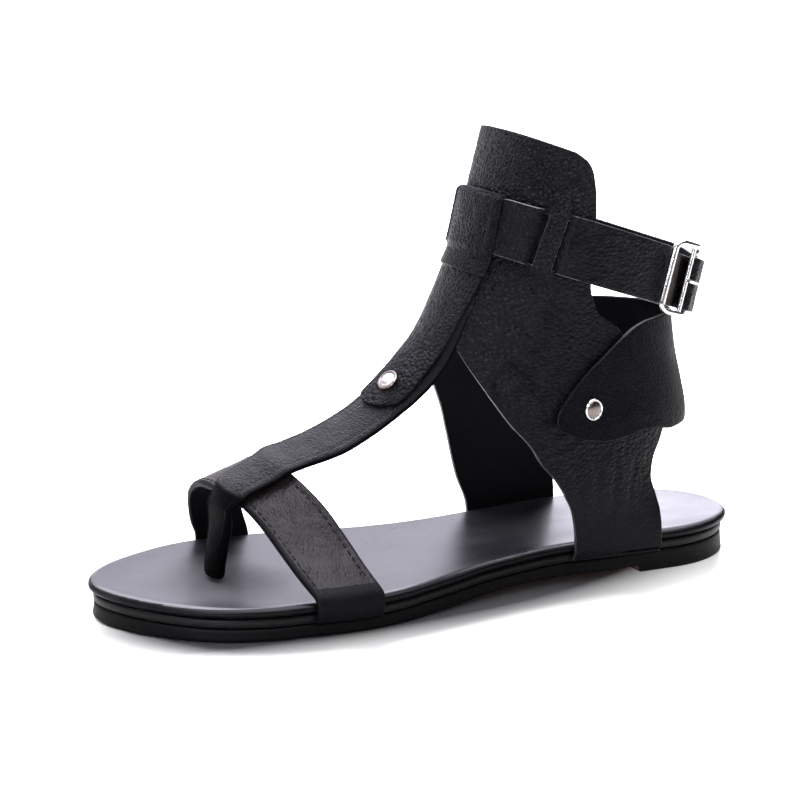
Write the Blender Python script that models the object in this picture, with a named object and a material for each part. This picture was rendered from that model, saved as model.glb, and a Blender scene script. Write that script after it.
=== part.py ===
"""Flat thong sandal for the left foot, with an ankle cuff, a riveted heel band and a buckled ankle strap.

Run it with: blender --background --python part.py
Sizes are in millimetres, and meshes are made in metres. +Z is up, the toe points to -Y, and the outer side
of the foot is +X. A "station" is the distance from the back of the footbed towards the toe. The origin is
on the floor, at the centre of the sandal's outline.
"""

import math
from functools import partial

import bpy
import numpy as np

MM = 0.001
GAP = 0.3  # between two pieces that touch on the real sandal

# ---------------------------------------------------------------- driving sizes
LENGTH = 250.0
HEEL_ROUND = 36.0  # length of the rounded heel end
HEEL_LENGTH = 50.0  # of the sole's part that stands on the floor at the back
TOE_ROUND = 55.0  # length of the rounded toe end
TOE_POWER = 1.75  # below 2 makes the toe more pointed than an ellipse

FOOTBED_THICK = 3.8
MIDSOLE_THICK = 3.4
MIDSOLE_INSET = 1.6  # from the footbed's edge
OUTSOLE_INSET = 1.9
OUTSOLE_FLARE = 1.3  # the inset near the floor
RIM_GAP = 0.42  # between the footbed's edge and the straps that go down over it
STRAP_REACH = 7.0  # how far straps go down past the footbed's top before they end

LEATHER = 1.8  # cuff, heel band and tongue
FOLDED = 2.3  # cross strap and T-strap, whose edges are folded
THIN = 1.5  # ankle strap and its keeper
OVER_LEATHER = LEATHER + GAP

SIDE_STATION = 73.0  # the widest station of the ankle
SECTION_POWER = 2.3  # above 2 makes the ankle's section squarer than an ellipse
STRAP_BACK = 19.8  # station where the middle of the ankle strap passes behind the heel
STRAP_LEAN = 0.29  # how far back it leans there, for each millimetre of height
STRAP_LOW, STRAP_HIGH = 110.0, 130.4  # heights of the ankle strap's edges
STRAP_MIDDLE = (STRAP_LOW + STRAP_HIGH) / 2
STRAP_RISE = 2.6  # of the ankle strap on the inner side and behind the heel
STRAP_TIP = 160.0  # degrees along the strap where its free end stops, under its other end
BAND_RAISE = 2.0  # how far the cuff bulges where the ankle strap passes behind it
BAND_DIP = 2.2  # how far the ankle strap dips there
SLOT_GAP = 0.35  # round the strap in the cuff's slots

BUCKLE_ANGLE = 127.5
BUCKLE_SIZE = (16.2, 25.0)  # between bar centres, along the strap and across it
BUCKLE_ARCH = 2.4  # how far its middle bulges outwards
BUCKLE_WIRE = 1.0  # radius
BUCKLE_BAR = 0.8  # radius of the centre bar
BUCKLE_OUT = 4.3  # of its outer bars' centres, from the ankle
BUCKLE_LIFT = 0.9  # of its middle over the strap's
PRONG_RADIUS = 0.8
PRONG_TIP = [(4.6, 3.95), (7.8, 3.5), (9.6, 3.2)]  # places along the strap, and heights over the outer bars
LOOP_RADII = (1.35, 2.45)  # inside and outside of the strap's loop round the back bar
LOOP_RETURN = 5.5  # how far the loop's end comes back under the strap
LOOP_HALF_WIDTH = 9.8
RIVET_RADIUS = 3.6


class Table:
    """Rows of numbers under named columns, read smoothly at any value of the first column."""

    def __init__(self, columns, rows):
        self.key = columns[0]
        self.data = dict(zip(columns, np.array(rows, float).T))
        self.slopes = {name: self.monotone_slopes(name) for name in columns[1:]}

    def monotone_slopes(self, name):
        """Slopes for a cubic that doesn't overshoot between the rows."""
        step = np.diff(self.data[self.key])
        rise = np.diff(self.data[name]) / step
        slopes = np.concatenate(([rise[0]], np.zeros(len(step) - 1), [rise[-1]]))
        for k in range(1, len(step)):
            if rise[k - 1] * rise[k] > 0:
                before, after = 2 * step[k] + step[k - 1], step[k] + 2 * step[k - 1]
                slopes[k] = (before + after) / (before / rise[k - 1] + after / rise[k])
        return slopes

    def at(self, name, where):
        x, y, slope = self.data[self.key], self.data[name], self.slopes[name]
        where = min(max(where, x[0]), x[-1])
        k = min(int(np.searchsorted(x, where, side="right")) - 1, len(x) - 2)
        step = x[k + 1] - x[k]
        u = (where - x[k]) / step
        value = y[k] * (1 + 2 * u) * (1 - u) ** 2 + y[k + 1] * u * u * (3 - 2 * u)
        return value + step * u * (1 - u) * (slope[k] * (1 - u) - slope[k + 1] * u)


SOLE = Table(
    ("station", "half_width", "centre", "top"),
    [
        (0, 30.0, 0.7, 15.6),
        (36, 30.0, 0.3, 15.4),
        (60, 30.6, -0.7, 15.2),
        (85, 29.4, -0.4, 14.7),
        (110, 30.8, 1.5, 13.9),
        (135, 36.4, 2.9, 12.8),
        (155, 42.0, 2.6, 12.1),
        (175, 45.2, 0.8, 12.0),
        (195, 45.2, -1.2, 12.0),
        (220, 45.2, -2.2, 12.1),
        (250, 45.2, -6.0, 13.2),
    ],
)
# The heel and the ball are flat on the floor. The waist and the toe are raised.
UNDERSIDE = Table(
    ("station", "height"),
    [
        (0, 0),
        (HEEL_LENGTH - 0.3, 0),
        (HEEL_LENGTH + 0.3, 2.6),
        (90, 2.6),
        (120, 1.5),
        (150, 0),
        (205, 0),
        (250, 1.2),
    ],
)
# Instep and ankle, cut by sloping planes. A plane's height is where it passes SIDE_STATION, and lean is how
# much lower the instep is on its outer side, for each millimetre.
LAST = Table(
    ("height", "slope", "front", "back", "half_width", "centre", "lean"),
    [
        (4, 0.0, 206, 20, 30.6, -0.6, 0),
        (18, 0.03, 205, 21, 30.8, -0.6, 0.05),
        (30, 0.087, 203, 22, 31.0, -0.4, 0.12),
        (40, 0.086, 183.5, 23, 31.0, -0.3, 0.20),
        (50, 0.068, 162, 24, 30.8, -0.1, 0.28),
        (60, 0.084, 144.2, 24, 30.5, 0, 0.25),
        (75, 0.15, 127, 26.5, 29.8, 0.4, 0.12),
        (90, 0.25, 117.3, 29.5, 29.0, 0.7, 0),
        (110, 0.34, 107.8, 32, 28.5, 0.7, 0),
        (131, 0.34, 102.6, 35, 28.0, 0.7, 0),
        (152, 0.39, 97.4, 38, 27.0, 0.7, 0),
        (164, 0.42, 94.0, 39, 26.5, 0.7, 0),
    ],
)
# The cuff and its two legs: stations of the front and back edges, on the outer side and on the inner one.
# Above CUFF_JOINS the two sides meet at the front.
CUFF = Table(
    ("height", "front", "back", "inner_front", "inner_back"),
    [
        (8, 79.0, 43.0, 91.0, 53.0),
        (17, 79.1, 43.2, 92.2, 53.0),
        (26, 80.6, 43.8, 96.0, 54.0),
        (32, 83.6, 45.3, 97.6, 56.0),
        (39, 88.4, 48.0, 99.2, 58.5),
        (45, 93.8, 48.0, 100.8, 57.0),
        (52, 98.0, 41.5, 102.8, 47.0),
        (60, 105.2, 40.0, 106.6, 41.0),
        (66, 109.8, 42.0, 110.0, 42.0),
        (72, 114.2, 45.0, 114.2, 45.0),
        (76.5, 117.2, 48.0, 117.2, 48.0),
        (80, 119.0, 51.0, 119.0, 51.0),
        (83.5, 120.3, 53.5, 120.3, 53.5),
        (86.5, 124.0, 56.0, 124.0, 56.0),
        (96, 124.0, 63.0, 124.0, 63.0),
        (100, 124.0, 71.5, 124.0, 71.5),
        (109, 124.0, 74.4, 124.0, 74.4),
        (132, 124.0, 72.3, 124.0, 72.3),
        (141, 124.0, 72.3, 124.0, 72.3),
        (149, 124.0, 73.2, 124.0, 73.2),
        (152.6, 124.0, 75.4, 124.0, 75.4),
        (154.3, 124.0, 79.5, 124.0, 79.5),
    ],
)
CUFF_JOINS = 86.5
CUFF_HEIGHTS = (
    [8.3, 9.6, 11, 12.6, 15.2, 19, 24, 31, 38, 45, 52, 59, 66, 71, 75, 78.5, 81.5, 84]
    + [CUFF_JOINS, 90, 95, 100, 104.5, 108.8, 114, 120, 126, 131.6, 136, 142, 149, 152, 153.6, 154.3]
)
# Shares of the way from the cuff's front edge to its back edge, closer together at the band over the strap.
CUFF_COLUMNS = (0, 0.12, 0.25, 0.38, 0.5, 0.59, 0.65, 0.69, 0.73, 0.77, 0.81, 0.87, 0.93, 1)

# Widths of the pieces that lie along the instep's ridge.
T_STRAP = Table(
    ("height", "half_width", "out"),
    [
        (30, 9.8, 0),
        (40, 10.4, 0),
        (44, 10.0, 0.1),
        (48.5, 9.6, 0.9),
        (53, 9.7, 0.1),
        (59, 10.0, 0),
        (70, 11.2, -0.1),
        (80, 12.4, -0.4),
        (95, 13.6, -1.0),
    ],
)
TONGUE = Table(
    ("height", "half_width", "out"),
    [
        (58.2, 2.8, 2.6),
        (58.8, 5.6, 2.6),
        (60.6, 8.2, 2.6),
        (63.5, 9.2, 2.6),
        (70, 10.0, 2.6),
        (80, 11.4, 2.4),
        (90, 12.8, 2.1),
        (102.4, 14.4, 2.1),
    ],
)
KEEPER = Table(
    ("height", "out"),
    [(102.8, 2.1), (107.6, 2.1), (109.4, 3.9), (130.8, 3.9), (132.0, 2.6), (133.0, 2.1)],
)
KEEPER_HALF_WIDTH = 14.8
# The toe post, from the T-strap's front end down to the footbed.
POST = Table(
    ("share", "station", "height", "x", "half_width", "thick", "facing"),
    [
        (0.0, 207.0, 39.0, 0.7, 9.6, 3.0, 48),
        (0.2, 210.0, 34.0, 1.2, 8.2, 4.2, 22),
        (0.45, 211.2, 27.5, 1.8, 6.6, 5.6, 4),
        (0.7, 210.6, 20.5, 2.5, 5.6, 6.4, -8),
        (1.0, 208.7, 13.3, 3.0, 5.2, 6.4, -16),
    ],
)
# The cross strap's two edges. Reach is the share of the sole's half width, and along runs from the inner side
# to the outer one.
CROSS = Table(
    ("along", "reach", "front", "front_height", "rear", "rear_height"),
    [
        (-0.80, -1.00, 197.0, 13.0, 175.5, 13.0),
        (-0.66, -0.97, 199.5, 18.0, 178.0, 20.0),
        (-0.52, -0.89, 201.5, 24.0, 180.5, 28.0),
        (-0.36, -0.70, 204.0, 33.4, 183.0, 39.4),
        (-0.18, -0.38, 204.5, 39.0, 183.2, 46.8),
        (0.00, -0.06, 203.5, 39.8, 182.4, 48.0),
        (0.16, 0.20, 200.4, 37.4, 179.4, 44.4),
        (0.32, 0.42, 197.4, 31.8, 174.2, 37.4),
        (0.48, 0.62, 194.8, 25.2, 169.8, 27.8),
        (0.64, 0.84, 192.0, 18.2, 166.9, 19.0),
        (0.74, 0.96, 190.4, 14.4, 165.9, 14.5),
        (0.80, 1.00, 189.8, 12.8, 165.6, 12.8),
    ],
)
CROSS_RIM = 0.80  # where along it turns down over the footbed's edge
# The heel band's edges, in degrees round the ankle from the front.
HEEL_BAND = Table(
    ("angle", "lower", "upper"),
    [
        (79.3, 61.8, 64.6),
        (80.0, 60.0, 67.0),
        (82.0, 58.2, 71.5),
        (87.5, 54.8, 79.2),
        (93.0, 53.4, 84.8),
        (101.5, 54.3, 90.3),
        (109.5, 55.3, 93.6),
        (118, 54.9, 95.0),
        (132, 53.2, 95.4),
        (150, 53.2, 95.0),
        (180, 54.0, 94.5),
    ],
)
HEEL_BAND_DROP = 1.8  # how much lower its top edge runs on the inner side
HEEL_RIVET = (90.0, 66.2)  # angle and height
INSTEP_RIVET = 65.7  # height
# How far the ankle strap stands off the foot, in degrees along it: from its other end, which rises to the
# buckle's back bar, once round to its free end, which goes under the buckle.
STRAP = Table(
    ("turn", "out"),
    [(-220, 5.9), (-213, 4.3), (-204, 2.8), (-192, 2.1), (104, 2.1), (118, 1.2), (128, 0.4), (160, 0.3)],
)


# ---------------------------------------------------------------- shapes of the foot and the sole
def smooth(u):
    u = min(max(u, 0.0), 1.0)
    return u * u * (3 - 2 * u)


def spot(station, x, z):
    return np.array((x, LENGTH / 2 - station, z))


def end_round(station):
    """The share of its half width that the sole keeps at its rounded ends."""
    if station < HEEL_ROUND:
        return math.sqrt(max(0.0, 1 - (1 - station / HEEL_ROUND) ** 2))
    toe = (station - (LENGTH - TOE_ROUND)) / TOE_ROUND
    return max(0.0, 1 - max(toe, 0.0) ** TOE_POWER) ** (1 / TOE_POWER)


def rim(station, reach, out=0.0):
    """Side position at a share of the footbed's half width."""
    return SOLE.at("centre", station) + reach * (SOLE.at("half_width", station) * end_round(station) + out)


def tuck(station, z):
    """How far a strap has turned in under the footbed's edge."""
    return MIDSOLE_INSET * smooth((SOLE.at("top", station) - 3.0 - z) / 2.6)


def superellipse(angle, station_reach, half_width):
    power = 2 / SECTION_POWER
    forward, side = math.cos(angle), math.sin(angle)
    return (
        math.copysign(station_reach * abs(forward) ** power, forward),
        math.copysign(half_width * abs(side) ** power, side),
    )


def ankle(angle, height, back=None):
    """The foot's surface. The angle is 0 at the front, positive on the outer side, and half a turn behind."""
    centre = LAST.at("centre", height)
    if math.cos(angle) > 0:
        reach = LAST.at("front", height) - SIDE_STATION
    else:
        reach = SIDE_STATION - (LAST.at("back", height) if back is None else back)
    forward, side = superellipse(angle, reach, LAST.at("half_width", height))
    lean = LAST.at("lean", height) * side * max(math.cos(angle), 0) ** 2
    return spot(SIDE_STATION + forward, centre + side, height + LAST.at("slope", height) * forward - lean)


def leg(angle, height):
    """The cuff's inner surface: the foot's, drawn in to the footbed's edge near the sole."""
    x, y, z = ankle(angle, height)
    station = LENGTH / 2 - y
    at_rim = rim(station, math.copysign(1, angle), RIM_GAP - tuck(station, z))
    return spot(station, x + (at_rim - x) * (1 - smooth((z - 16) / 26)), z)


def strap_loop(angle, height):
    return ankle(angle, height, back=STRAP_BACK - STRAP_LEAN * (height - STRAP_MIDDLE))


def cross(along, across):
    """The cross strap's inner surface, with across 0 at its front edge and 1 at its rear one."""
    past = max(abs(along) - CROSS_RIM, 0) / (1 - CROSS_RIM)
    side = math.copysign(1, along)
    front, rear = CROSS.at("front", along), CROSS.at("rear", along)
    station = front + (rear - front) * across
    low, high = CROSS.at("front_height", along), CROSS.at("rear_height", along)
    z = low + (high - low) * across
    reach = CROSS.at("reach", along)
    if past == 0:
        return spot(station, rim(station, reach, RIM_GAP), z)
    end = SOLE.at("top", station) - STRAP_REACH
    z += (end - z) * past
    return spot(station, rim(station, side, RIM_GAP - tuck(station, z)), z)


def lifted(surface, u, v, out, step=(0.01, 0.4)):
    """The point of a surface, moved out along its normal."""
    across = surface(u + step[0], v) - surface(u - step[0], v)
    up = surface(u, v + step[1]) - surface(u, v - step[1])
    normal = np.cross(across, up)
    return surface(u, v) + normal * (out / np.linalg.norm(normal))


def ridge_angle(offset, height):
    """The angle at a side offset from the instep's ridge."""
    share = (abs(offset) / LAST.at("half_width", height)) ** (SECTION_POWER / 2)
    return math.copysign(math.asin(min(share, 1)), offset)


def station_angle(station, height):
    """The angle on the outer side at a station."""
    if station >= SIDE_STATION:
        share = (station - SIDE_STATION) / (LAST.at("front", height) - SIDE_STATION)
        return math.acos(min(share, 1) ** (SECTION_POWER / 2))
    share = (SIDE_STATION - station) / (SIDE_STATION - LAST.at("back", height))
    return math.pi - math.acos(min(share, 1) ** (SECTION_POWER / 2))


def plane_height(angle, z):
    """Which sloping plane passes the height z at an angle."""
    height = z
    for _ in range(30):
        height += z - ankle(angle, height)[2]
    return height


# ---------------------------------------------------------------- making meshes
def material(name, colour, roughness, metallic=0.0):
    made = bpy.data.materials.new(name)
    made.use_nodes = True
    shader = made.node_tree.nodes["Principled BSDF"]
    shader.inputs["Base Color"].default_value = (*colour, 1)
    shader.inputs["Roughness"].default_value = roughness
    shader.inputs["Metallic"].default_value = metallic
    return made


def body(name, points, faces, finish, sharp_angle=40):
    mesh = bpy.data.meshes.new(name)
    mesh.from_pydata([tuple(np.array(p) * MM) for p in points], [], faces)
    mesh.materials.append(finish)
    mesh.shade_smooth()
    mesh.set_sharp_from_angle(angle=math.radians(sharp_angle))
    made = bpy.data.objects.new(name, mesh)
    bpy.context.scene.collection.objects.link(made)
    return made


def shell(name, cells, sheet, finish):
    """A closed wall. The sheet gives each key its inner and outer point, and cells are loops of keys."""
    keys = sorted({key for cell in cells for key in cell})
    number = {key: k for k, key in enumerate(keys)}
    count = len(keys)
    points = [sheet[key][0] for key in keys] + [sheet[key][1] for key in keys]
    loops = [[number[key] for key in cell] for cell in cells]
    faces = [[k + count for k in loop] for loop in loops] + [loop[::-1] for loop in loops]
    edges = {(a, b) for loop in loops for a, b in zip(loop, loop[1:] + loop[:1])}
    faces += [(b + count, a + count, a, b) for a, b in edges if (b, a) not in edges]
    return body(name, points, faces, finish)


def grid_cells(rows, columns):
    return [
        ((i, j), (i, j + 1), (i + 1, j + 1), (i + 1, j))
        for i in range(rows - 1)
        for j in range(columns - 1)
    ]


def grid_shell(name, rows, columns, wall, finish):
    """A wall over a grid, where wall(row, column) gives the inner and outer point."""
    sheet = {(i, j): wall(row, column) for i, row in enumerate(rows) for j, column in enumerate(columns)}
    return shell(name, grid_cells(len(rows), len(columns)), sheet, finish)


def tube(name, path, radii, frame_up, finish, closed=False, sides=8):
    """A round wire along a path."""
    count = len(path)
    points = []
    for k, centre in enumerate(path):
        before = path[k - 1] if closed or k else path[0]
        after = path[(k + 1) % count] if closed or k < count - 1 else path[-1]
        ahead = (after - before) / np.linalg.norm(after - before)
        side = np.cross(ahead, frame_up)
        side /= np.linalg.norm(side)
        for j in range(sides):
            turn = math.tau * j / sides
            points.append(centre + radii[k] * (math.cos(turn) * frame_up + math.sin(turn) * side))
    faces = []
    for k in range(count if closed else count - 1):
        for j in range(sides):
            a, b = k * sides, (k + 1) % count * sides
            faces.append((a + j, a + (j + 1) % sides, b + (j + 1) % sides, b + j))
    if not closed:
        faces.append(tuple(range(sides))[::-1])
        faces.append(tuple(range((count - 1) * sides, count * sides)))
    return body(name, points, faces, finish)


def combine(target, other, operation):
    """A Boolean with a helper object that isn't a piece of its own."""
    cut = target.modifiers.new(other.name, "BOOLEAN")
    cut.operation = operation
    cut.solver = "EXACT"
    cut.object = other
    other.hide_render = True
    other.display_type = "WIRE"


# ---------------------------------------------------------------- the sole
def sole_stations():
    heel = [HEEL_ROUND * (1 - math.cos(math.radians(90 * k / 8))) for k in range(9)]
    middle = [43, HEEL_LENGTH - 0.3, HEEL_LENGTH + 0.3, 62, 75, 90, 105, 120, 135, 150, 165, 180]
    toe = [LENGTH - TOE_ROUND * (1 - math.sin(math.radians(10 * k))) for k in range(10)]
    return heel + middle + toe


def slab(name, rings, finish):
    """A solid of the sole's outline. Rings run upwards, each with an inset and a height for a station."""
    stations = sole_stations()
    last = len(stations) - 1
    loop = [(k, 1) for k in range(last + 1)] + [(k, -1) for k in range(last - 1, 0, -1)]
    edge = np.array([spot(stations[k], rim(stations[k], side), 0) for k, side in loop])
    along = np.roll(edge, -1, axis=0) - np.roll(edge, 1, axis=0)
    outward = np.cross(along, (0, 0, -1))
    outward /= np.linalg.norm(outward, axis=1)[:, None]
    points = []
    for inset, height in rings:
        for k, at in enumerate(edge - outward * inset):
            points.append((at[0], at[1], height(stations[loop[k][0]])))
    count = len(loop)
    faces = []
    for ring in range(len(rings) - 1):
        for k in range(count):
            low, low_next = ring * count + k, ring * count + (k + 1) % count
            faces.append((low, low + count, low_next + count, low_next))
    top = (len(rings) - 1) * count
    for k in range(last):
        rung = sorted({k, k + 1, (count - k - 1) % count, (count - k) % count})
        faces.append(tuple(top + j for j in reversed(rung)))
        faces.append(tuple(rung))
    return body(name, points, faces, finish)


def build_sole(leather, rubber):
    def level(drop):
        return lambda station: SOLE.at("top", station) - drop

    def ground(rise):
        return lambda station: UNDERSIDE.at("height", station) + rise

    slab(
        "footbed",
        [
            (1.2, level(FOOTBED_THICK)),
            (0.3, level(FOOTBED_THICK - 0.4)),
            (0.0, level(FOOTBED_THICK - 1.2)),
            (0.0, level(1.6)),
            (0.35, level(0.6)),
            (1.1, level(0.12)),
            (2.4, level(0.0)),
        ],
        leather,
    )
    top = FOOTBED_THICK + GAP
    base = top + MIDSOLE_THICK
    slab(
        "midsole",
        [
            (MIDSOLE_INSET + 0.6, level(base)),
            (MIDSOLE_INSET, level(base - 0.6)),
            (MIDSOLE_INSET, level(top + 0.6)),
            (MIDSOLE_INSET + 0.6, level(top)),
        ],
        leather,
    )
    slab(
        "outsole",
        [(OUTSOLE_INSET, ground(0)), (OUTSOLE_FLARE, ground(0.6)), (OUTSOLE_INSET, level(base + GAP))],
        rubber,
    )


# ---------------------------------------------------------------- the upper
def band_station(height):
    """The middle of the cuff's narrow band that the ankle strap passes behind."""
    return 92.2 - 0.3 * (height - STRAP_LOW)


def near_band(angle, height, flat, fade):
    """1 on the band, and 0 away from it."""
    station = LENGTH / 2 - ankle(angle, height)[1]
    return 1 - smooth((abs(station - band_station(height)) - flat) / fade)


def cuff_raise(angle, height):
    beyond = max(STRAP_LOW - 1.2 - height, height - STRAP_HIGH - 1.2)
    return BAND_RAISE * near_band(angle, height, 2.3, 2.2) * (1 - smooth(beyond / 4))


def cuff_edges(side, height):
    """Angles of the cuff's front and back edge on one side."""
    front, back = ("front", "back") if side > 0 else ("inner_front", "inner_back")
    front = 0 if height >= CUFF_JOINS else station_angle(CUFF.at(front, height), height)
    return side * front, side * station_angle(CUFF.at(back, height), height)


def build_cuff(finish):
    sheet, cells = {}, []
    for side in (1, -1):
        for i, height in enumerate(CUFF_HEIGHTS):
            front, back = cuff_edges(side, height)
            for j, share in enumerate(CUFF_COLUMNS):
                angle = front + (back - front) * share
                angle += side * 1e-4  # keeps the sign at the ridge
                out = cuff_raise(angle, height)
                key = (i, side * j) if j or height < CUFF_JOINS else (i, 0)
                key = (i, side * 0.5) if j == 0 and height < CUFF_JOINS else key
                sheet[key] = (lifted(leg, angle, height, out), lifted(leg, angle, height, out + LEATHER))
        for i in range(len(CUFF_HEIGHTS) - 1):
            for j in range(len(CUFF_COLUMNS) - 1):
                corners = [(i, j), (i, j + 1), (i + 1, j + 1), (i + 1, j)]
                cell = [
                    (row, side * column if column or CUFF_HEIGHTS[row] >= CUFF_JOINS else side * 0.5)
                    for row, column in corners
                ]
                cells.append(cell if side > 0 else cell[::-1])
    return shell("upper", cells, sheet, finish)


RIBBON_COLUMNS = (-1, -0.88, -0.55, -0.2, 0.2, 0.55, 0.88, 1)


def rounded(column, thick):
    """How much the wall thins, on each face, at a ribbon's edges."""
    return 0.22 * thick * smooth((abs(column) - 0.8) / 0.2)


def ridge_wall(half_width, out, thick):
    """A wall along the instep's ridge, with its width and its height off the foot as functions of height."""

    def wall(height, column):
        angle = ridge_angle(column * half_width(height), height)
        low = out(height) + rounded(column, thick)
        high = out(height) + thick - rounded(column, thick)
        return lifted(ankle, angle, height, low), lifted(ankle, angle, height, high)

    return wall


def post_wall(share, column):
    """The toe post's back and front, from the T-strap's end down."""
    facing = math.radians(POST.at("facing", share))
    forward = np.array((0, -math.cos(facing), math.sin(facing)))
    centre = spot(POST.at("station", share), POST.at("x", share), POST.at("height", share))
    centre = centre + np.array((column * POST.at("half_width", share), 0, 0))
    half = POST.at("thick", share) / 2 * math.sqrt(1 - 0.7 * column * column)
    return centre - forward * half, centre + forward * half


def build_t_strap(finish):
    ridge = ridge_wall(lambda h: T_STRAP.at("half_width", h), lambda h: T_STRAP.at("out", h), FOLDED)
    heights = [30, 32.5, 35, 37.5, 40, 42.5, 45, 47.5, 50, 53, 56, 59, 62, 65, 68, 71, 74, 77, 80, 84, 89, 95]
    shares = [1, 0.85, 0.7, 0.55, 0.42, 0.3, 0.18, 0.08]

    def wall(row, column):
        return post_wall(-row, column) if row < 0 else ridge(row, column)

    return grid_shell("t_strap", [-share for share in shares] + heights, RIBBON_COLUMNS, wall, finish)


def build_cross_strap(finish):
    tucked = [0.825, 0.85, 0.88, 0.91, 0.94, 0.97, 1]
    arch = [round(-0.8 + 1.6 * k / 20, 3) for k in range(21)]
    alongs = [-along for along in reversed(tucked)] + arch + tucked

    def wall(across, along):
        share, column = (across + 1) / 2, across
        low, high = rounded(column, FOLDED), FOLDED - rounded(column, FOLDED)
        return tuple(lifted(cross, along, share, out, step=(0.004, 0.02)) for out in (low, high))

    return grid_shell("cross_strap", (-1, -0.86, -0.3, 0.3, 0.86, 1), alongs, wall, finish)


def folded_angle(turn):
    """The angle round the ankle, for a place along the strap counted on past a full turn."""
    return math.radians((turn + 180) % 360 - 180)


def dip(turn, height):
    """How much of its dip behind the cuff's narrow bands the strap has reached."""
    angle = folded_angle(turn)
    return near_band(angle, height, 2.6, 5.0) if math.cos(angle) > 0 else 0


def strap_rise(turn):
    """The strap runs higher on the inner side and behind the heel."""
    return STRAP_RISE * smooth((-60 - turn) / 45) * smooth((turn + 200) / 40)


def strap_wall(turn, height, spare=0.0):
    """The strap's inner and outer point, with some spare room for a cutter."""
    angle, up = folded_angle(turn), height + strap_rise(turn)
    out = STRAP.at("out", turn) - BAND_DIP * dip(turn, height)
    return lifted(strap_loop, angle, up, out - spare), lifted(strap_loop, angle, up, out + THIN + spare)


def strap_turns(start, end):
    """Falling turns, closer together at the cuff's narrow bands and at the buckle."""
    turns = []
    for k in range(round((start - end) / 2.5) + 1):
        turn = start - 2.5 * k
        here = math.degrees(folded_angle(turn))
        close = abs(abs(here) - 65) <= 25 or abs(here - BUCKLE_ANGLE) <= 18
        if close or turn % 7.5 == 0 or turn in (start, end):
            turns.append(turn)
    return turns


def loop_wall(around, back, height):
    """The strap's end looped round the buckle's back bar, from 90 degrees outside it to 270 inside it."""
    centre, ahead, up, outward = buckle_place()
    across = LOOP_HALF_WIDTH * (height - STRAP_MIDDLE) / (STRAP_HIGH - STRAP_MIDDLE) - BUCKLE_LIFT
    centre = centre + ahead * (BUCKLE_SIZE[0] / 2 + back) + up * across
    turn = math.radians(around)
    away = ahead * math.cos(turn) + outward * math.sin(turn)
    return tuple(centre + away * radius for radius in LOOP_RADII)


def build_ankle_strap(finish):
    """One strap, from its free end under the buckle, round the front and behind the heel to the back bar."""
    heights = (STRAP_LOW, STRAP_LOW + 6.8, STRAP_HIGH - 6.8, STRAP_HIGH)
    rows = [partial(strap_wall, turn) for turn in strap_turns(STRAP_TIP, -217.5)]
    rows += [partial(loop_wall, around, 0) for around in range(90, 271, 30)]
    rows += [partial(loop_wall, 270, LOOP_RETURN * k / 2) for k in (1, 2)]
    grid_shell("ankle_strap", rows, heights, lambda row, height: row(height), finish)


def build_slot_cutter(side, finish):
    """The room that the ankle strap needs through the cuff on one side."""
    heights = (STRAP_LOW - SLOT_GAP, STRAP_LOW + 6.8, STRAP_HIGH - 6.8, STRAP_HIGH + SLOT_GAP)
    turns = strap_turns(65 * side + 25, 65 * side - 25)
    return grid_shell("slot_cutter", turns, heights, partial(strap_wall, spare=SLOT_GAP), finish)


def build_upper(leather):
    upper = build_cuff(leather)
    combine(upper, build_t_strap(leather), "UNION")
    combine(upper, build_cross_strap(leather), "UNION")
    for side in (1, -1):
        combine(upper, build_slot_cutter(side, leather), "DIFFERENCE")


def build_overlays(leather):
    """The riveted tongue and the keeper on the front, and the band round the heel."""
    tongue = ridge_wall(lambda h: TONGUE.at("half_width", h), lambda h: TONGUE.at("out", h), LEATHER)
    heights = [58.2, 58.8, 60.6, 63.5, 67, 71, 75, 79, 83, 87, 91, 95, 99, 102.4]
    grid_shell("tongue", heights, RIBBON_COLUMNS, tongue, leather)
    keeper = ridge_wall(lambda h: KEEPER_HALF_WIDTH, lambda h: KEEPER.at("out", h), THIN)
    heights = [102.8, 105.2, 107.6, 109.4, 115, 120.5, 126, 130.8, 132, 133]
    grid_shell("strap_keeper", heights, RIBBON_COLUMNS, keeper, leather)

    def heel_wall(share, turn):
        low, high = HEEL_BAND.at("lower", abs(turn)), HEEL_BAND.at("upper", abs(turn))
        angle = math.radians(turn if turn > 0 else turn + 360)
        high += HEEL_BAND_DROP * min(math.sin(angle), 0)
        height = plane_height(angle, low + (high - low) * share)
        faces = (OVER_LEATHER, OVER_LEATHER + LEATHER)
        return tuple(lifted(ankle, angle, height, out) for out in faces)

    turns = [79.3, 80, 82, 85, 89, 94, 100, 107, 115, 124, 134, 145, 156, 168, 180]
    turns += [-turn for turn in reversed(turns[:-1])]
    grid_shell("heel_band", (0, 0.2, 0.4, 0.6, 0.8, 1), turns, heel_wall, leather)


# ---------------------------------------------------------------- metal
def surface_frame(surface, angle, height, out):
    """A point off a surface, with the directions round the ankle, up it and out of it."""
    centre = lifted(surface, angle, height, out)
    outward = lifted(surface, angle, height, out + 1) - centre
    ahead = surface(angle + 0.01, height) - surface(angle - 0.01, height)
    ahead /= np.linalg.norm(ahead)
    return centre, ahead, np.cross(outward, ahead), outward


def rivet(name, surface, angle, height, out, finish, sides=16):
    """A domed rivet head that sits on the leather."""
    centre, ahead, up, outward = surface_frame(surface, angle, height, out)
    points = []
    for share, rise in ((1, 0), (1, 0.45), (0.72, 1.15), (0.36, 1.55)):
        for k in range(sides):
            turn = math.tau * k / sides
            around = ahead * math.cos(turn) + up * math.sin(turn)
            points.append(centre + around * RIVET_RADIUS * share + outward * rise)
    faces = [tuple(reversed(range(sides)))]
    for ring in range(3):
        for k in range(sides):
            a, b = ring * sides + k, ring * sides + (k + 1) % sides
            faces.append((a, b, b + sides, a + sides))
    faces.append(tuple(range(3 * sides, 4 * sides)))
    return body(name, points, faces, finish, sharp_angle=60)


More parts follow.
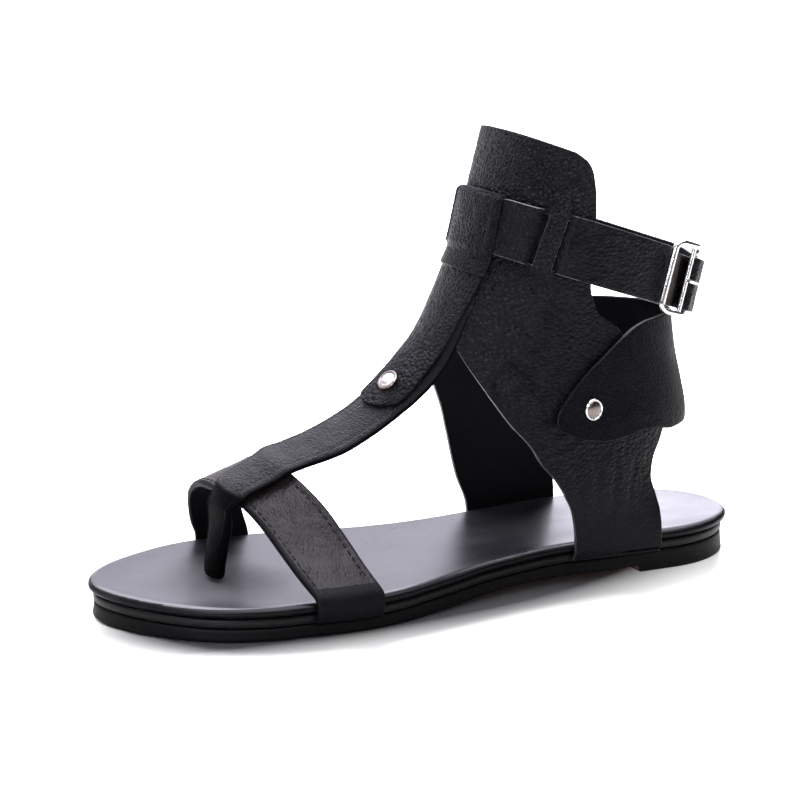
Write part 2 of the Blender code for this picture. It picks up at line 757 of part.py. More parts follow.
def buckle_place():
    """The buckle's centre, and its directions along the strap, across it and out of it."""
    return surface_frame(strap_loop, math.radians(BUCKLE_ANGLE), STRAP_MIDDLE + BUCKLE_LIFT, BUCKLE_OUT)


def build_buckle(metal):
    centre, ahead, up, outward = buckle_place()
    half_long, half_wide = BUCKLE_SIZE[0] / 2, BUCKLE_SIZE[1] / 2

    def place(along, across):
        """A point of the arched frame."""
        arch = BUCKLE_ARCH * (1 - (along / half_long) ** 2)
        return centre + ahead * along + up * across + outward * arch

    corner = 2.6
    path = []
    for quarter, (s, w) in enumerate(((1, 1), (-1, 1), (-1, -1), (1, -1))):
        for k in range(4):
            turn = math.radians(90 * quarter + 30 * k)
            along = s * (half_long - corner) + corner * math.cos(turn)
            path.append(place(along, w * (half_wide - corner) + corner * math.sin(turn)))
        if quarter in (0, 2):
            path.append(place(0, w * half_wide))
    frame = tube("buckle_frame", path, [BUCKLE_WIRE] * len(path), outward, metal, closed=True)
    bar = [place(0, -half_wide), place(0, half_wide)]
    combine(frame, tube("centre_bar", bar, [BUCKLE_BAR] * 2, outward, metal), "UNION")
    over = BUCKLE_ARCH + BUCKLE_BAR + GAP + PRONG_RADIUS
    path = [
        centre + ahead * along + outward * rise for along, rise in [(-1.0, over), (1.0, over)] + PRONG_TIP
    ]
    radii = [PRONG_RADIUS * share for share in (1, 1, 0.94, 0.81, 0.62)]
    tube("buckle_prong", path, radii, outward, metal)


def build_rivets(metal):
    rivet("rivet_instep", ankle, 0.0001, INSTEP_RIVET, 2.6 + LEATHER + GAP, metal)
    turn, z = HEEL_RIVET
    for name, angle in (("rivet_outer", math.radians(turn)), ("rivet_inner", -math.radians(turn))):
        rivet(name, ankle, angle, plane_height(angle, z), OVER_LEATHER + LEATHER + GAP, metal)


def main():
    for old in list(bpy.data.objects):
        bpy.data.objects.remove(old)
    leather = material("black_leather", (0.012, 0.011, 0.013), 0.42)
    footbed = material("footbed_leather", (0.014, 0.013, 0.016), 0.32)
    rubber = material("black_rubber", (0.01, 0.01, 0.01), 0.6)
    metal = material("polished_metal", (0.62, 0.6, 0.58), 0.18, metallic=1.0)
    build_sole(footbed, rubber)
    build_upper(leather)
    build_overlays(leather)
    build_ankle_strap(leather)
    build_buckle(metal)
    build_rivets(metal)


main()
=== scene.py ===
"""The looks of a left T-strap sandal in black leather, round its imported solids.

Shapes are worked out in millimetres, in the sandal's own frame: +Z is up, the toe points to -Y and the outer
side of the foot is +X. A "station" is the distance from the back of the footbed towards the toe.
"""

import math

import bpy
import numpy as np
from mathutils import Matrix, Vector
from mathutils.kdtree import KDTree


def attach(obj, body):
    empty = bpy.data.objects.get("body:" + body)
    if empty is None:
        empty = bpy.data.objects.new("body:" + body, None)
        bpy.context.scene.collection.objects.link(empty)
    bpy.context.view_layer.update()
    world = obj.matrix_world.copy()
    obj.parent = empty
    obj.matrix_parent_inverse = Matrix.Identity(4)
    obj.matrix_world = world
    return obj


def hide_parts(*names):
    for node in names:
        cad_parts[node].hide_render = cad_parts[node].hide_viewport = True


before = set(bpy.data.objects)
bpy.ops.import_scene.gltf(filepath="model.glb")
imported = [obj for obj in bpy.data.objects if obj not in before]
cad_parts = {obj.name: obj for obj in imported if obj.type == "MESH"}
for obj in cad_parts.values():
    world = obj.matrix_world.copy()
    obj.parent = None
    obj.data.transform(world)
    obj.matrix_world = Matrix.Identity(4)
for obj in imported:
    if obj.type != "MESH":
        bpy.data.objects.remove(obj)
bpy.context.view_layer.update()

MM = 0.001
GAP = 0.3

# ---- sizes
LENGTH = 250.0
HEEL_ROUND = 36.0
HEEL_LENGTH = 50.0
TOE_ROUND = 55.0
TOE_POWER = 1.75

FOOTBED_THICK = 3.8
MIDSOLE_THICK = 3.4
MIDSOLE_INSET = 1.6
OUTSOLE_INSET = 1.9
OUTSOLE_FLARE = 1.3
RIM_GAP = 0.42
STRAP_REACH = 7.0  # how far below the footbed's top the straps end
# From this share outwards the footbed's rim is coloured darker as painted shade.
RIM_SHADE_START = 0.953  # the share of the half width where the footbed's rim starts

LEATHER = 1.8
FOLDED = 2.3
THIN = 1.5
OVER_LEATHER = LEATHER + GAP
CUFF_STEP = 0.85  # between the cuff's points

T_STRAP_LOW, T_STRAP_HIGH = 31.0, 96.0
POST_LENGTH = 27.0
POST_FOOT = (0.003, -0.083, 0.012)  # in metres
TONGUE_LOW, TONGUE_HIGH = 59.2, 102.4
TONGUE_TIP = 4.4  # the height of its round tip
KEEPER_LOW, KEEPER_HIGH = 101.4, 132.0
KEEPER_HALF_WIDTH = 14.8
KEEPER_BEND = 109.4  # where it folds under the ankle strap
CROSS_WIDTH = 22.5
CROSS_RIM = 0.80  # the share along the cross strap where it turns in under the rim
# Beyond this share the strap's wrap under the rim is given painted shade.
CROSS_WRAP_SHADE = 0.715  # the share where its dark wrap starts
GROOVE = 2.6  # from a folded edge to its stitches
STITCH_SPAN = (-0.72, 0.70)  # shares along the cross strap
STITCH_PITCH = 3.1
STITCH = (1.05, 0.33, 0.24)  # half length, half width, half height

SIDE_STATION = 73.0
SECTION_POWER = 2.3
STRAP_BACK = 19.8
STRAP_LEAN = 0.29
STRAP_LOW, STRAP_HIGH = 110.0, 130.4
STRAP_MIDDLE = (STRAP_LOW + STRAP_HIGH) / 2
STRAP_RISE = 4.3
STRAP_START, STRAP_TIP = -217.5, 160.0  # in degrees round the ankle
BAND_RAISE = 2.0
BAND_DIP = 2.2
BAND_HALF = 2.8  # half width of the cuff's band over the ankle strap
SLOT_HALF = 7.2  # where the slots beside it end
SLOT_GAP = -0.6  # the slots are a little shorter than the strap is wide

BUCKLE_ANGLE = 130.2
BUCKLE_FRONT, BUCKLE_BACK = 8.1, 6.0
BUCKLE_WIDTH = 25.4
BUCKLE_CORNER = 3.0
BUCKLE_ARCH = 2.4
BUCKLE_WIRE = 1.2
BUCKLE_BAR = 0.8
BUCKLE_OUT = 4.3
BUCKLE_LIFT = 0.9
PRONG_RADIUS = 0.8
PRONG_TIP = [(3.2, 4.3), (5.8, 4.1), (7.4, 3.6)]
LOOP_RADII = (1.35, 2.45)  # inside and outside of the strap's loop round the back bar
LOOP_RETURN = 5.5
LOOP_HALF_WIDTH = 9.8
RIVET_RADIUS = 4.0
HEEL_RIVET = (89.05, 65.6)  # angle and height
INSTEP_RIVET = 65.8
TONGUE_OUT = 2.6
ROUND_SIDES, ARC_POINTS = 56, 12  # of a rivet's head
HEEL_BAND_START = 79.3
HEEL_BAND_DROP = 1.8  # of its upper edge on the inner side

VIEW_AZIMUTH = 64.3  # of the camera, in degrees from the toe's direction towards the outer side
VIEW_ELEVATION = 13.26
VIEW_DISTANCE = 0.85
VIEW_CENTRE = (0.0007, -0.0099, 0.06807)
LENS = 107.0
FLOOR_HALF = 3.0  # in metres


class Table:
    """Rows of numbers under named columns, read smoothly at any values of the first column."""

    def __init__(self, columns, rows):
        self.key = columns[0]
        self.data = dict(zip(columns, np.array(rows, float).T))
        self.slopes = {name: self.monotone_slopes(name) for name in columns[1:]}

    def monotone_slopes(self, name):
        """Slopes for a cubic that doesn't overshoot between the rows."""
        step = np.diff(self.data[self.key])
        rise = np.diff(self.data[name]) / step
        slopes = np.concatenate(([rise[0]], np.zeros(len(step) - 1), [rise[-1]]))
        for k in range(1, len(step)):
            if rise[k - 1] * rise[k] > 0:
                before, after = 2 * step[k] + step[k - 1], step[k] + 2 * step[k - 1]
                slopes[k] = (before + after) / (before / rise[k - 1] + after / rise[k])
        return slopes

    def at(self, name, where):
        x, y, slope = self.data[self.key], self.data[name], self.slopes[name]
        where = np.clip(where, x[0], x[-1])
        k = np.clip(np.searchsorted(x, where, side="right") - 1, 0, len(x) - 2)
        step = x[k + 1] - x[k]
        u = (where - x[k]) / step
        value = y[k] * (1 + 2 * u) * (1 - u) ** 2 + y[k + 1] * u * u * (3 - 2 * u)
        return value + step * u * (1 - u) * (slope[k] * (1 - u) - slope[k + 1] * u)


SOLE = Table(
    ("station", "half_width", "centre", "top"),
    [
        (0, 30.0, 0.7, 15.6), (36, 30.0, 0.3, 15.4), (60, 30.6, -0.7, 15.2), (85, 29.4, -0.4, 14.7),
        (110, 30.8, 1.5, 13.9), (135, 36.4, 2.9, 12.8), (155, 42.0, 2.6, 12.1), (175, 45.2, 0.8, 12.0),
        (195, 45.2, -1.2, 12.0), (220, 45.2, -2.2, 12.1), (250, 45.2, -6.0, 13.2),
    ],
)
UNDERSIDE = Table(
    ("station", "height"),
    [
        (0, 0), (HEEL_LENGTH - 0.3, 0), (HEEL_LENGTH + 0.3, 2.6), (90, 2.6), (120, 1.5), (150, 0), (215, 0),
        (250, 0.4),
    ],
)
LAST = Table(
    ("height", "slope", "front", "back", "half_width", "centre", "lean"),
    [
        (4, 0.0, 206, 20, 30.6, -0.6, 0), (18, 0.03, 205, 21, 30.8, -0.6, 0.05),
        (30, 0.087, 203, 22, 31.0, -0.4, 0.12), (40, 0.086, 183.5, 23, 31.0, -0.3, 0.20),
        (50, 0.068, 162, 24, 30.8, -0.1, 0.28), (60, 0.084, 144.2, 24, 30.5, 0, 0.25),
        (75, 0.15, 127, 26.5, 29.8, 0.4, 0.12), (90, 0.25, 117.3, 29.5, 29.0, 0.7, 0),
        (110, 0.34, 107.8, 32, 28.5, 0.7, 0), (131, 0.34, 102.6, 35, 28.0, 0.7, 0),
        (152, 0.39, 96.8, 38, 27.0, 0.7, 0), (164, 0.42, 92.9, 39, 26.5, 0.7, 0),
    ],
)
CUFF = Table(
    ("height", "front", "back", "inner_front", "inner_back"),
    [
        (8, 79.0, 43.0, 91.0, 53.0), (17, 79.1, 43.2, 92.2, 53.0), (26, 80.6, 43.8, 96.0, 54.0),
        (32, 83.6, 45.3, 97.6, 56.0), (39, 88.4, 47.2, 99.2, 57.6), (45, 93.8, 46.2, 100.8, 55.4),
        (52, 98.0, 42.6, 102.8, 48.6), (60, 105.2, 40.0, 106.6, 41.0), (66, 109.8, 42.0, 110.0, 42.0),
    ]
    # Higher up, the inner side is the outer side's mirror image.
    + [
        (height, front, back, front, back)
        for height, front, back in [
            (72, 114.2, 45.0), (76.5, 117.2, 48.0), (80, 119.0, 51.0), (83.5, 120.3, 53.5),
            (86.5, 124.0, 56.0), (96, 124.0, 63.0), (100, 124.0, 71.5), (109, 124.0, 74.4),
            (132, 124.0, 72.3), (141, 124.0, 72.3), (149, 124.0, 73.2), (152.6, 124.0, 75.4),
            (154.3, 124.0, 79.5),
        ]
    ],
)
CUFF_LOW, CUFF_JOINS, CUFF_HIGH = 8.3, 86.5, 154.3
T_STRAP = Table(
    ("height", "half_width", "aside", "out"),
    [
        (31.0, 9.9, 0, -0.9), (34.5, 10.2, 0, -0.9), (37, 10.3, 0, -0.2), (39.2, 10.1, -0.1, 0.7),
        (41.8, 9.8, -0.4, -0.3), (45, 9.7, -0.3, -0.4), (49, 9.8, 0.1, -0.1), (54, 10.0, 0.2, -0.2),
        (60, 10.5, 0.4, 0), (66, 11.5, 0.8, 0), (71, 12.3, 1.0, -0.1), (80, 13.2, 0.8, -0.5),
        (95, 13.9, 0.3, -1.0),
    ],
)
TONGUE = Table(
    ("height", "half_width", "out"),
    [
        (59.2, 3.4, 2.6), (59.8, 6.6, 2.6), (61.4, 8.6, 2.6), (64.5, 9.4, 2.6), (70, 10.0, 2.5),
        (80, 11.4, 1.5), (90, 12.8, 1.2), (102.4, 14.4, 1.4),
    ],
)
KEEPER = Table(
    ("height", "out"),
    [
        (101.2, 2.6), (103, 2.5), (107.2, 2.2), (108.2, 2.3), (109.6, 2.9), (129.8, 3.1), (131.2, 2.3),
        (132.0, 2.0),
    ],
)
POST = Table(
    ("share", "station", "height", "x", "half_width", "thick", "facing"),
    [
        (0.0, 204.4, 38.6, 0.4, 9.9, 2.6, 44), (0.12, 204.6, 36.2, 0.8, 9.6, 3.2, 10),
        (0.3, 204.7, 31.5, 1.3, 8.6, 4.2, 0), (0.55, 205.8, 25.5, 2.0, 7.0, 5.2, -6),
        (0.8, 207.2, 18.5, 2.6, 6.0, 5.6, -8), (1.0, 207.9, 13.3, 3.0, 5.4, 5.6, -8),
    ],
)
CROSS = Table(
    ("along", "reach", "front", "front_height", "rear", "rear_height"),
    [
        (-0.80, -1.00, 195.6, 13.0, 175.5, 13.0), (-0.66, -0.97, 197.8, 18.0, 178.0, 20.0),
        (-0.52, -0.89, 199.8, 24.0, 180.5, 28.0), (-0.36, -0.70, 202.6, 33.4, 182.6, 39.4),
        (-0.18, -0.38, 203.6, 39.0, 182.0, 46.8), (0.00, -0.06, 202.6, 39.8, 180.6, 47.8),
        (0.16, 0.20, 199.2, 37.4, 177.9, 44.4), (0.32, 0.42, 196.0, 31.8, 173.2, 37.4),
        (0.48, 0.62, 193.4, 25.2, 169.2, 27.8), (0.64, 0.84, 190.6, 18.2, 166.2, 19.0),
        (0.74, 0.96, 188.6, 14.4, 164.2, 14.5), (0.80, 1.00, 187.6, 12.8, 163.2, 12.8),
    ],
)
HEEL_BAND = Table(
    ("angle", "lower", "upper"),
    [
        (79.3, 61.8, 64.6), (80.0, 60.0, 67.0), (82.0, 58.2, 71.5), (87.5, 54.8, 79.2), (93.0, 53.4, 84.8),
        (101.5, 54.3, 90.3), (109.5, 55.3, 93.6), (118, 54.9, 95.0), (132, 53.2, 95.4), (150, 53.2, 95.0),
        (180, 54.0, 94.5),
    ],
)
STRAP = Table(
    ("turn", "out"),
    [(-220, 5.9), (-213, 4.3), (-204, 2.8), (-192, 2.1), (104, 2.1), (118, 1.2), (128, 0.4), (160, 0.3)],
)


# ---- shapes of the foot and the sole
def smooth(u):
    u = np.clip(u, 0.0, 1.0)
    return u * u * (3 - 2 * u)


def spot(station, x, z):
    station, x, z = np.broadcast_arrays(station, x, z)
    return np.stack((x, LENGTH / 2 - station, z), axis=-1)


def end_round(station):
    """The share of its half width that the sole keeps at its rounded ends."""
    heel = 1 - np.clip(station / HEEL_ROUND, 0, 1)
    toe = np.clip((station - (LENGTH - TOE_ROUND)) / TOE_ROUND, 0, 1)
    return np.sqrt(1 - heel * heel) * (1 - toe**TOE_POWER) ** (1 / TOE_POWER)


def station_of(points):
    return LENGTH / 2 - points[..., 1]


def rim(station, reach, out=0.0):
    return SOLE.at("centre", station) + reach * (SOLE.at("half_width", station) * end_round(station) + out)


def tuck(station, z):
    """How far a strap has turned in under the footbed's edge."""
    return MIDSOLE_INSET * smooth((SOLE.at("top", station) - 3.0 - z) / 2.6)


def ankle(angle, height, back=None):
    """The foot's surface. The angle is 0 at the front, positive on the outer side, and half a turn behind."""
    angle, height = np.broadcast_arrays(np.asarray(angle, float), np.asarray(height, float))
    forward, side = np.cos(angle), np.sin(angle)
    behind = LAST.at("back", height) if back is None else back
    reach = np.where(forward > 0, LAST.at("front", height) - SIDE_STATION, SIDE_STATION - behind)
    lean_share = np.maximum(forward, 0) ** 2
    power = 2 / SECTION_POWER
    forward = reach * np.sign(forward) * np.abs(forward) ** power
    side = LAST.at("half_width", height) * np.sign(side) * np.abs(side) ** power
    lean = LAST.at("lean", height) * side * lean_share
    z = height + LAST.at("slope", height) * forward - lean
    return spot(SIDE_STATION + forward, LAST.at("centre", height) + side, z)


def leg(angle, height):
    """The cuff's inner surface: the foot's, drawn in to the footbed's edge near the sole."""
    at = ankle(angle, height)
    x, station, z = at[..., 0], station_of(at), at[..., 2]
    at_rim = rim(station, np.sign(angle), RIM_GAP - tuck(station, z))
    return spot(station, x + (at_rim - x) * (1 - smooth((z - 16) / 26)), z)


def strap_loop(angle, height):
    return ankle(angle, height, back=STRAP_BACK - STRAP_LEAN * (np.asarray(height) - STRAP_MIDDLE))


def cross(along, across):
    """The cross strap's inner surface, with across 0 at its front edge and 1 at its rear one."""
    past = np.clip((np.abs(along) - CROSS_RIM) / (1 - CROSS_RIM), 0, None)
    front, rear = CROSS.at("front", along), CROSS.at("rear", along)
    station = front + (rear - front) * across
    low, high = CROSS.at("front_height", along), CROSS.at("rear_height", along)
    z = low + (high - low) * across
    end = SOLE.at("top", station) - STRAP_REACH
    z = z + (end - z) * past
    on_foot = rim(station, CROSS.at("reach", along), RIM_GAP)
    past_rim = rim(station, np.sign(along), RIM_GAP - tuck(station, z))
    return spot(station, np.where(past > 0, past_rim, on_foot), z)


def normal_of(surface, u, v, step=(0.01, 0.4)):
    across = surface(u + step[0], v) - surface(u - step[0], v)
    up = surface(u, v + step[1]) - surface(u, v - step[1])
    normal = np.cross(across, up)
    return normal / np.linalg.norm(normal, axis=-1)[..., None]


def ridge_angle(offset, height):
    """The angle at a side offset from the instep's ridge."""
    share = (np.abs(offset) / LAST.at("half_width", height)) ** (SECTION_POWER / 2)
    return np.sign(offset) * np.arcsin(np.minimum(share, 1))


def station_angle(station, height):
    """The angle on the outer side at a station."""
    forward = np.clip((station - SIDE_STATION) / (LAST.at("front", height) - SIDE_STATION), 0, 1)
    behind = np.clip((SIDE_STATION - station) / (SIDE_STATION - LAST.at("back", height)), 0, 1)
    share = forward ** (SECTION_POWER / 2) - behind ** (SECTION_POWER / 2)
    return np.arccos(share)


def plane_height(angle, z):
    """Which sloping plane passes the height z at an angle."""
    height = z
    for _ in range(30):
        height = height + z - ankle(angle, height)[..., 2]
    return height


def surface_frame(surface, angle, height, out):
    """A point off a surface, with the directions round the ankle, up it and out of it."""
    outward = normal_of(surface, angle, height)
    centre = surface(angle, height) + outward * out
    ahead = surface(angle + 0.01, height) - surface(angle - 0.01, height)
    ahead /= np.linalg.norm(ahead)
    return centre, ahead, np.cross(outward, ahead), outward


# ---- relief of the leather
def lattice_noise(points, wave, seed):
    """Smooth noise from -1 to 1, with bumps about one wave long. A wave can differ along x, y and z."""
    table = np.random.default_rng(seed).uniform(-1, 1, (64, 64, 64))
    at = np.asarray(points) / np.asarray(wave, float)
    cell = np.floor(at).astype(int)
    u = smooth(at - cell)
    total = 0.0
    for corner in np.ndindex(2, 2, 2):
        weight = np.prod(np.where(corner, u, 1 - u), axis=-1)
        index = (cell + corner) % 64
        total = total + weight * table[index[..., 0], index[..., 1], index[..., 2]]
    return total


def ridges(points, wave, seed):
    """Thin raised lines between softer hollows, from 0 to 1."""
    return (1 - np.abs(lattice_noise(points, wave, seed))) ** 3


def turned(points, degrees):
    """The points with the side plane turned, so that noise can run along a slanted crease."""
    c, s = math.cos(math.radians(degrees)), math.sin(math.radians(degrees))
    x, y, z = np.moveaxis(points, -1, 0)
    return np.stack((x, c * y + s * z, c * z - s * y), axis=-1)


def line_distance(across, along, line):
    """Distance in a plane from each point to a line of points, and how far along it the nearest one is."""
    best = np.full(np.shape(across), 1e9)
    share = np.zeros(np.shape(across))
    for k, (a, b) in enumerate(zip(line, line[1:])):
        run = np.array(b, float) - a
        t = ((across - a[0]) * run[0] + (along - a[1]) * run[1]) / (run @ run)
        t = np.clip(t, 0, 1)
        d = np.hypot(across - a[0] - t * run[0], along - a[1] - t * run[1])
        share = np.where(d < best, (k + t) / (len(line) - 1), share)
        best = np.minimum(best, d)
    return best, share


def creases(across, along, lines):
    """Soft troughs with a low ridge on both sides, fading at their ends. An item is (line, width, depth)."""
    total = 0.0
    for line, width, depth in lines:
        distance, share = line_distance(across, along, line)
        u = distance / width
        fade = np.sin(np.pi * np.clip(share, 0.04, 0.96)) ** 0.6
        total = total + depth * fade * (0.55 * np.exp(-((u - 1.6) ** 2)) - np.exp(-u * u))
    return total


# ---- making meshes
def shares(length, step, ends=(True, True), edge=0.6):
    """Shares of a length in millimetres, closer together at the ends that are a piece's edge."""
    near = np.array([0.0, 0.05, 0.15, 0.32, 0.6, 1.0]) * edge
    first = near if ends[0] else near[:1]
    last = length - (near if ends[1] else near[:1])[::-1]
    count = max(2, int(round((last[0] - first[-1]) / step)) + 1)
    middle = np.linspace(first[-1], last[0], count)
    return np.concatenate((first[:-1], middle, last[1:])) / length


def spread(low, high, step, ends=(True, True)):
    """Values from low to high, spaced as shares are."""
    return low + (high - low) * shares(high - low, step, ends)


def linked(name, data):
    made = bpy.data.objects.new(name, data)
    bpy.context.scene.collection.objects.link(made)
    return made


def finish_object(name, points, faces, materials, indices=None, sharp=None):
    mesh = bpy.data.meshes.new(name)
    mesh.from_pydata((np.asarray(points) * MM).tolist(), [], faces)
    for made in materials:
        mesh.materials.append(made)
    if indices is not None:
        mesh.polygons.foreach_set("material_index", np.asarray(indices, np.int32))
    mesh.shade_smooth()
    if sharp:
        mesh.set_sharp_from_angle(angle=math.radians(sharp))
    mesh.update()
    return linked(name, mesh)


def place(piece, slot, *nodes):
    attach(piece, "root")
    if nodes:
        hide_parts(*nodes)


def edge_distance(points, quads):
    """Each point's distance to the sheet's edge, and which points lie on it."""
    ends = np.concatenate([quads[:, [k, (k + 1) % 4]] for k in range(4)])
    count = len(points)
    code = ends[:, 0] * count + ends[:, 1]
    reverse = ends[:, 1] * count + ends[:, 0]
    open_ends = ends[~np.isin(code, reverse)]
    on_edge = np.zeros(count, bool)
    on_edge[open_ends.ravel()] = True
    a, b = points[open_ends[:, 0]], points[open_ends[:, 1]]
    samples = np.concatenate([a + (b - a) * t for t in (0, 0.25, 0.5, 0.75)])
    tree = KDTree(len(samples))
    for k, sample in enumerate(samples):
        tree.insert(sample, k)
    tree.balance()
    used = np.unique(quads)
    distance = np.full(count, 9.0)
    distance[used] = [tree.find(point)[2] for point in points[used]]
    distance[on_edge] = 0
    return distance, on_edge


def leather_wall(
    name, nodes, base, normal, thick, materials, relief, slot="black_leather",
    edge=0.6, square=2.6, cells=None, joins=(), ink=0.25, zones=0,
):
    """A closed wall over a grid of inner points. Its edge is rounded over the length edge, and squarer for a
    larger square. Cells left out are holes, and joins are (row, column, column) whose two points are one.
    The materials are the flesh side's, the cut edge's as far in as ink, and the outer side's, by zone."""
    rows, columns = base.shape[:2]
    number = np.arange(rows * columns).reshape(rows, columns)
    for row, kept, other in joins:
        number[row, other] = number[row, kept]
    quads = np.stack((number[:-1, :-1], number[:-1, 1:], number[1:, 1:], number[1:, :-1]), -1)
    zones = np.broadcast_to(zones, (rows, columns))[:-1, :-1]
    cells = np.ones(quads.shape[:2], bool) if cells is None else cells
    quads, zones = quads[cells], zones[cells]
    thick, relief = (np.broadcast_to(part, (rows, columns)).reshape(-1) for part in (thick, relief))
    base, normal = base.reshape(-1, 3), normal.reshape(-1, 3)
    middle = base + normal * (thick / 2)[:, None]
    distance, on_edge = edge_distance(middle, quads)
    share = np.clip(distance / edge, 0, 1)
    half = thick / 2 * (1 - (1 - share) ** square) ** (1 / square)
    outer = middle + normal * (half + relief * smooth(distance / (2 * edge)))[:, None]
    inner = middle - normal * half[:, None]
    used = np.unique(quads)
    slots = np.full(len(base), -1)
    slots[used] = np.arange(len(used))
    inside = used[~on_edge[used]]
    inner_slots = slots.copy()
    inner_slots[inside] = len(used) + np.arange(len(inside))
    faces = np.concatenate((slots[quads], inner_slots[quads][:, ::-1]))
    cut = distance[quads].mean(axis=1) < ink
    indices = np.concatenate((np.where(cut, 1, 2 + zones), np.where(cut, 1, 0)))
    points = np.concatenate((outer[used], inner[inside]))
    place(finish_object(name, points, faces.tolist(), materials, indices), slot, *nodes)


def ring_faces(rings, sides, first=0, closed=False):
    """The faces of a skin over rings of points, closed in a loop or with a cap at both ends."""
    faces = []
    for ring in range(rings if closed else rings - 1):
        a, b = first + ring * sides, first + (ring + 1) % rings * sides
        faces += [(a + j, a + (j + 1) % sides, b + (j + 1) % sides, b + j) for j in range(sides)]
    if not closed:
        faces += [tuple(range(first, first + sides))[::-1], tuple(range(b, b + sides))]
    return faces


def tube(name, path, radii, up, closed=False, sides=20, flat=1.0):
    """A wire along a path. Flat is its height along up, as a share of its width."""
    path, count = np.asarray(path), len(path)
    before = np.roll(path, 1, axis=0) if closed else np.concatenate((path[:1], path[:-1]))
    after = np.roll(path, -1, axis=0) if closed else np.concatenate((path[1:], path[-1:]))
    ahead = after - before
    side = np.cross(ahead, up)
    side /= np.linalg.norm(side, axis=1)[:, None]
    rise = np.cross(side, ahead)
    rise /= np.linalg.norm(rise, axis=1)[:, None]
    turn = math.tau * np.arange(sides) / sides
    radii = np.broadcast_to(radii, count)[:, None, None]
    ring = flat * np.cos(turn)[None, :, None] * rise[:, None] + np.sin(turn)[None, :, None] * side[:, None]
    points = (path[:, None] + radii * ring).reshape(-1, 3)
    return finish_object(name, points, ring_faces(count, sides, closed=closed), (bright_metal,), sharp=50)


def curve_through(points, count):
    """A smooth curve through a few points, with Catmull-Rom spans."""
    points = np.asarray(points, float)
    padded = np.concatenate((2 * points[:1] - points[1:2], points, 2 * points[-1:] - points[-2:-1]))
    where = np.linspace(0, len(points) - 1, count)
    k = np.minimum(where.astype(int), len(points) - 2)
    u = (where - k)[:, None]
    a, b, c, d = (padded[k + j] for j in range(4))
    return 0.5 * (2 * b + (c - a) * u + (2 * a - 5 * b + 4 * c - d) * u**2 + (3 * b - a - 3 * c + d) * u**3)


# ---- materials
class Nodes:
    """A material's node tree, with short ways to add and link nodes."""

    def __init__(self, name):
        self.material = bpy.data.materials.new(name)
        self.material.use_nodes = True
        self.tree = self.material.node_tree
        self.shader = self.tree.nodes["Principled BSDF"]
        self.here = self.add("TexCoord").outputs["Object"]

    def add(self, kind, inputs=(), **settings):
        node = self.tree.nodes.new("ShaderNode" + kind)
        for key, value in settings.items():
            setattr(node, key, value)
        for key, value in dict(inputs).items():
            self.set(node, key, value)
        return node

    def set(self, node, key, value):
        if isinstance(value, bpy.types.NodeSocket):
            self.tree.links.new(value, node.inputs[key])
        else:
            node.inputs[key].default_value = value

    def math(self, operation, a, b=0.0, c=0.0):
        return self.add("Math", {0: a, 1: b, 2: c}, operation=operation).outputs[0]

    def vector(self, operation, a, b):
        key = "Scale" if operation == "SCALE" else 1
        outputs = self.add("VectorMath", {0: a, key: b}, operation=operation).outputs
        return outputs["Value" if operation in ("LENGTH", "DISTANCE") else "Vector"]

    def scaled_place(self, scale, turn=(0, 0, 0)):
        """Object coordinates in waves. A scale is waves per millimetre along x, y and z."""
        turn, scale = [math.radians(a) for a in turn], [s / MM for s in scale]
        return self.add("Mapping", {"Vector": self.here, "Rotation": turn, "Scale": scale}).outputs[0]

    def noise(self, scale, detail=2.0, roughness=0.5):
        inputs = {"Vector": self.scaled_place(scale), "Scale": 1.0, "Detail": detail, "Roughness": roughness}
        return self.add("TexNoise", inputs).outputs["Fac"]

    def ramp(self, factor, stops):
        node = self.add("ValToRGB", {"Fac": factor})
        node.color_ramp.elements.remove(node.color_ramp.elements[1])
        for k, (position, colour) in enumerate(stops):
            element = node.color_ramp.elements[0] if k == 0 else node.color_ramp.elements.new(position)
            element.position = position
            element.color = (*colour, 1)
        return node.outputs["Color"]

    def fit(self, value, low, high, to_low, to_high):
        """A value between two limits, brought to two others."""
        inputs = {"Value": value, "From Min": low, "From Max": high, "To Min": to_low, "To Max": to_high}
        return self.add("MapRange", inputs).outputs[0]

    def finish(self, colour, rough, height, relief, constants):
        """The shader's inputs. Relief is the bump's (strength, depth in millimetres)."""
        bump = self.add("Bump", {"Height": height, "Strength": relief[0], "Distance": relief[1] * MM})
        inputs = {"Base Color": colour, "Roughness": rough, "Normal": bump.outputs[0], **constants}
        for key, value in inputs.items():
            self.set(self.shader, key, value)
        return self.material


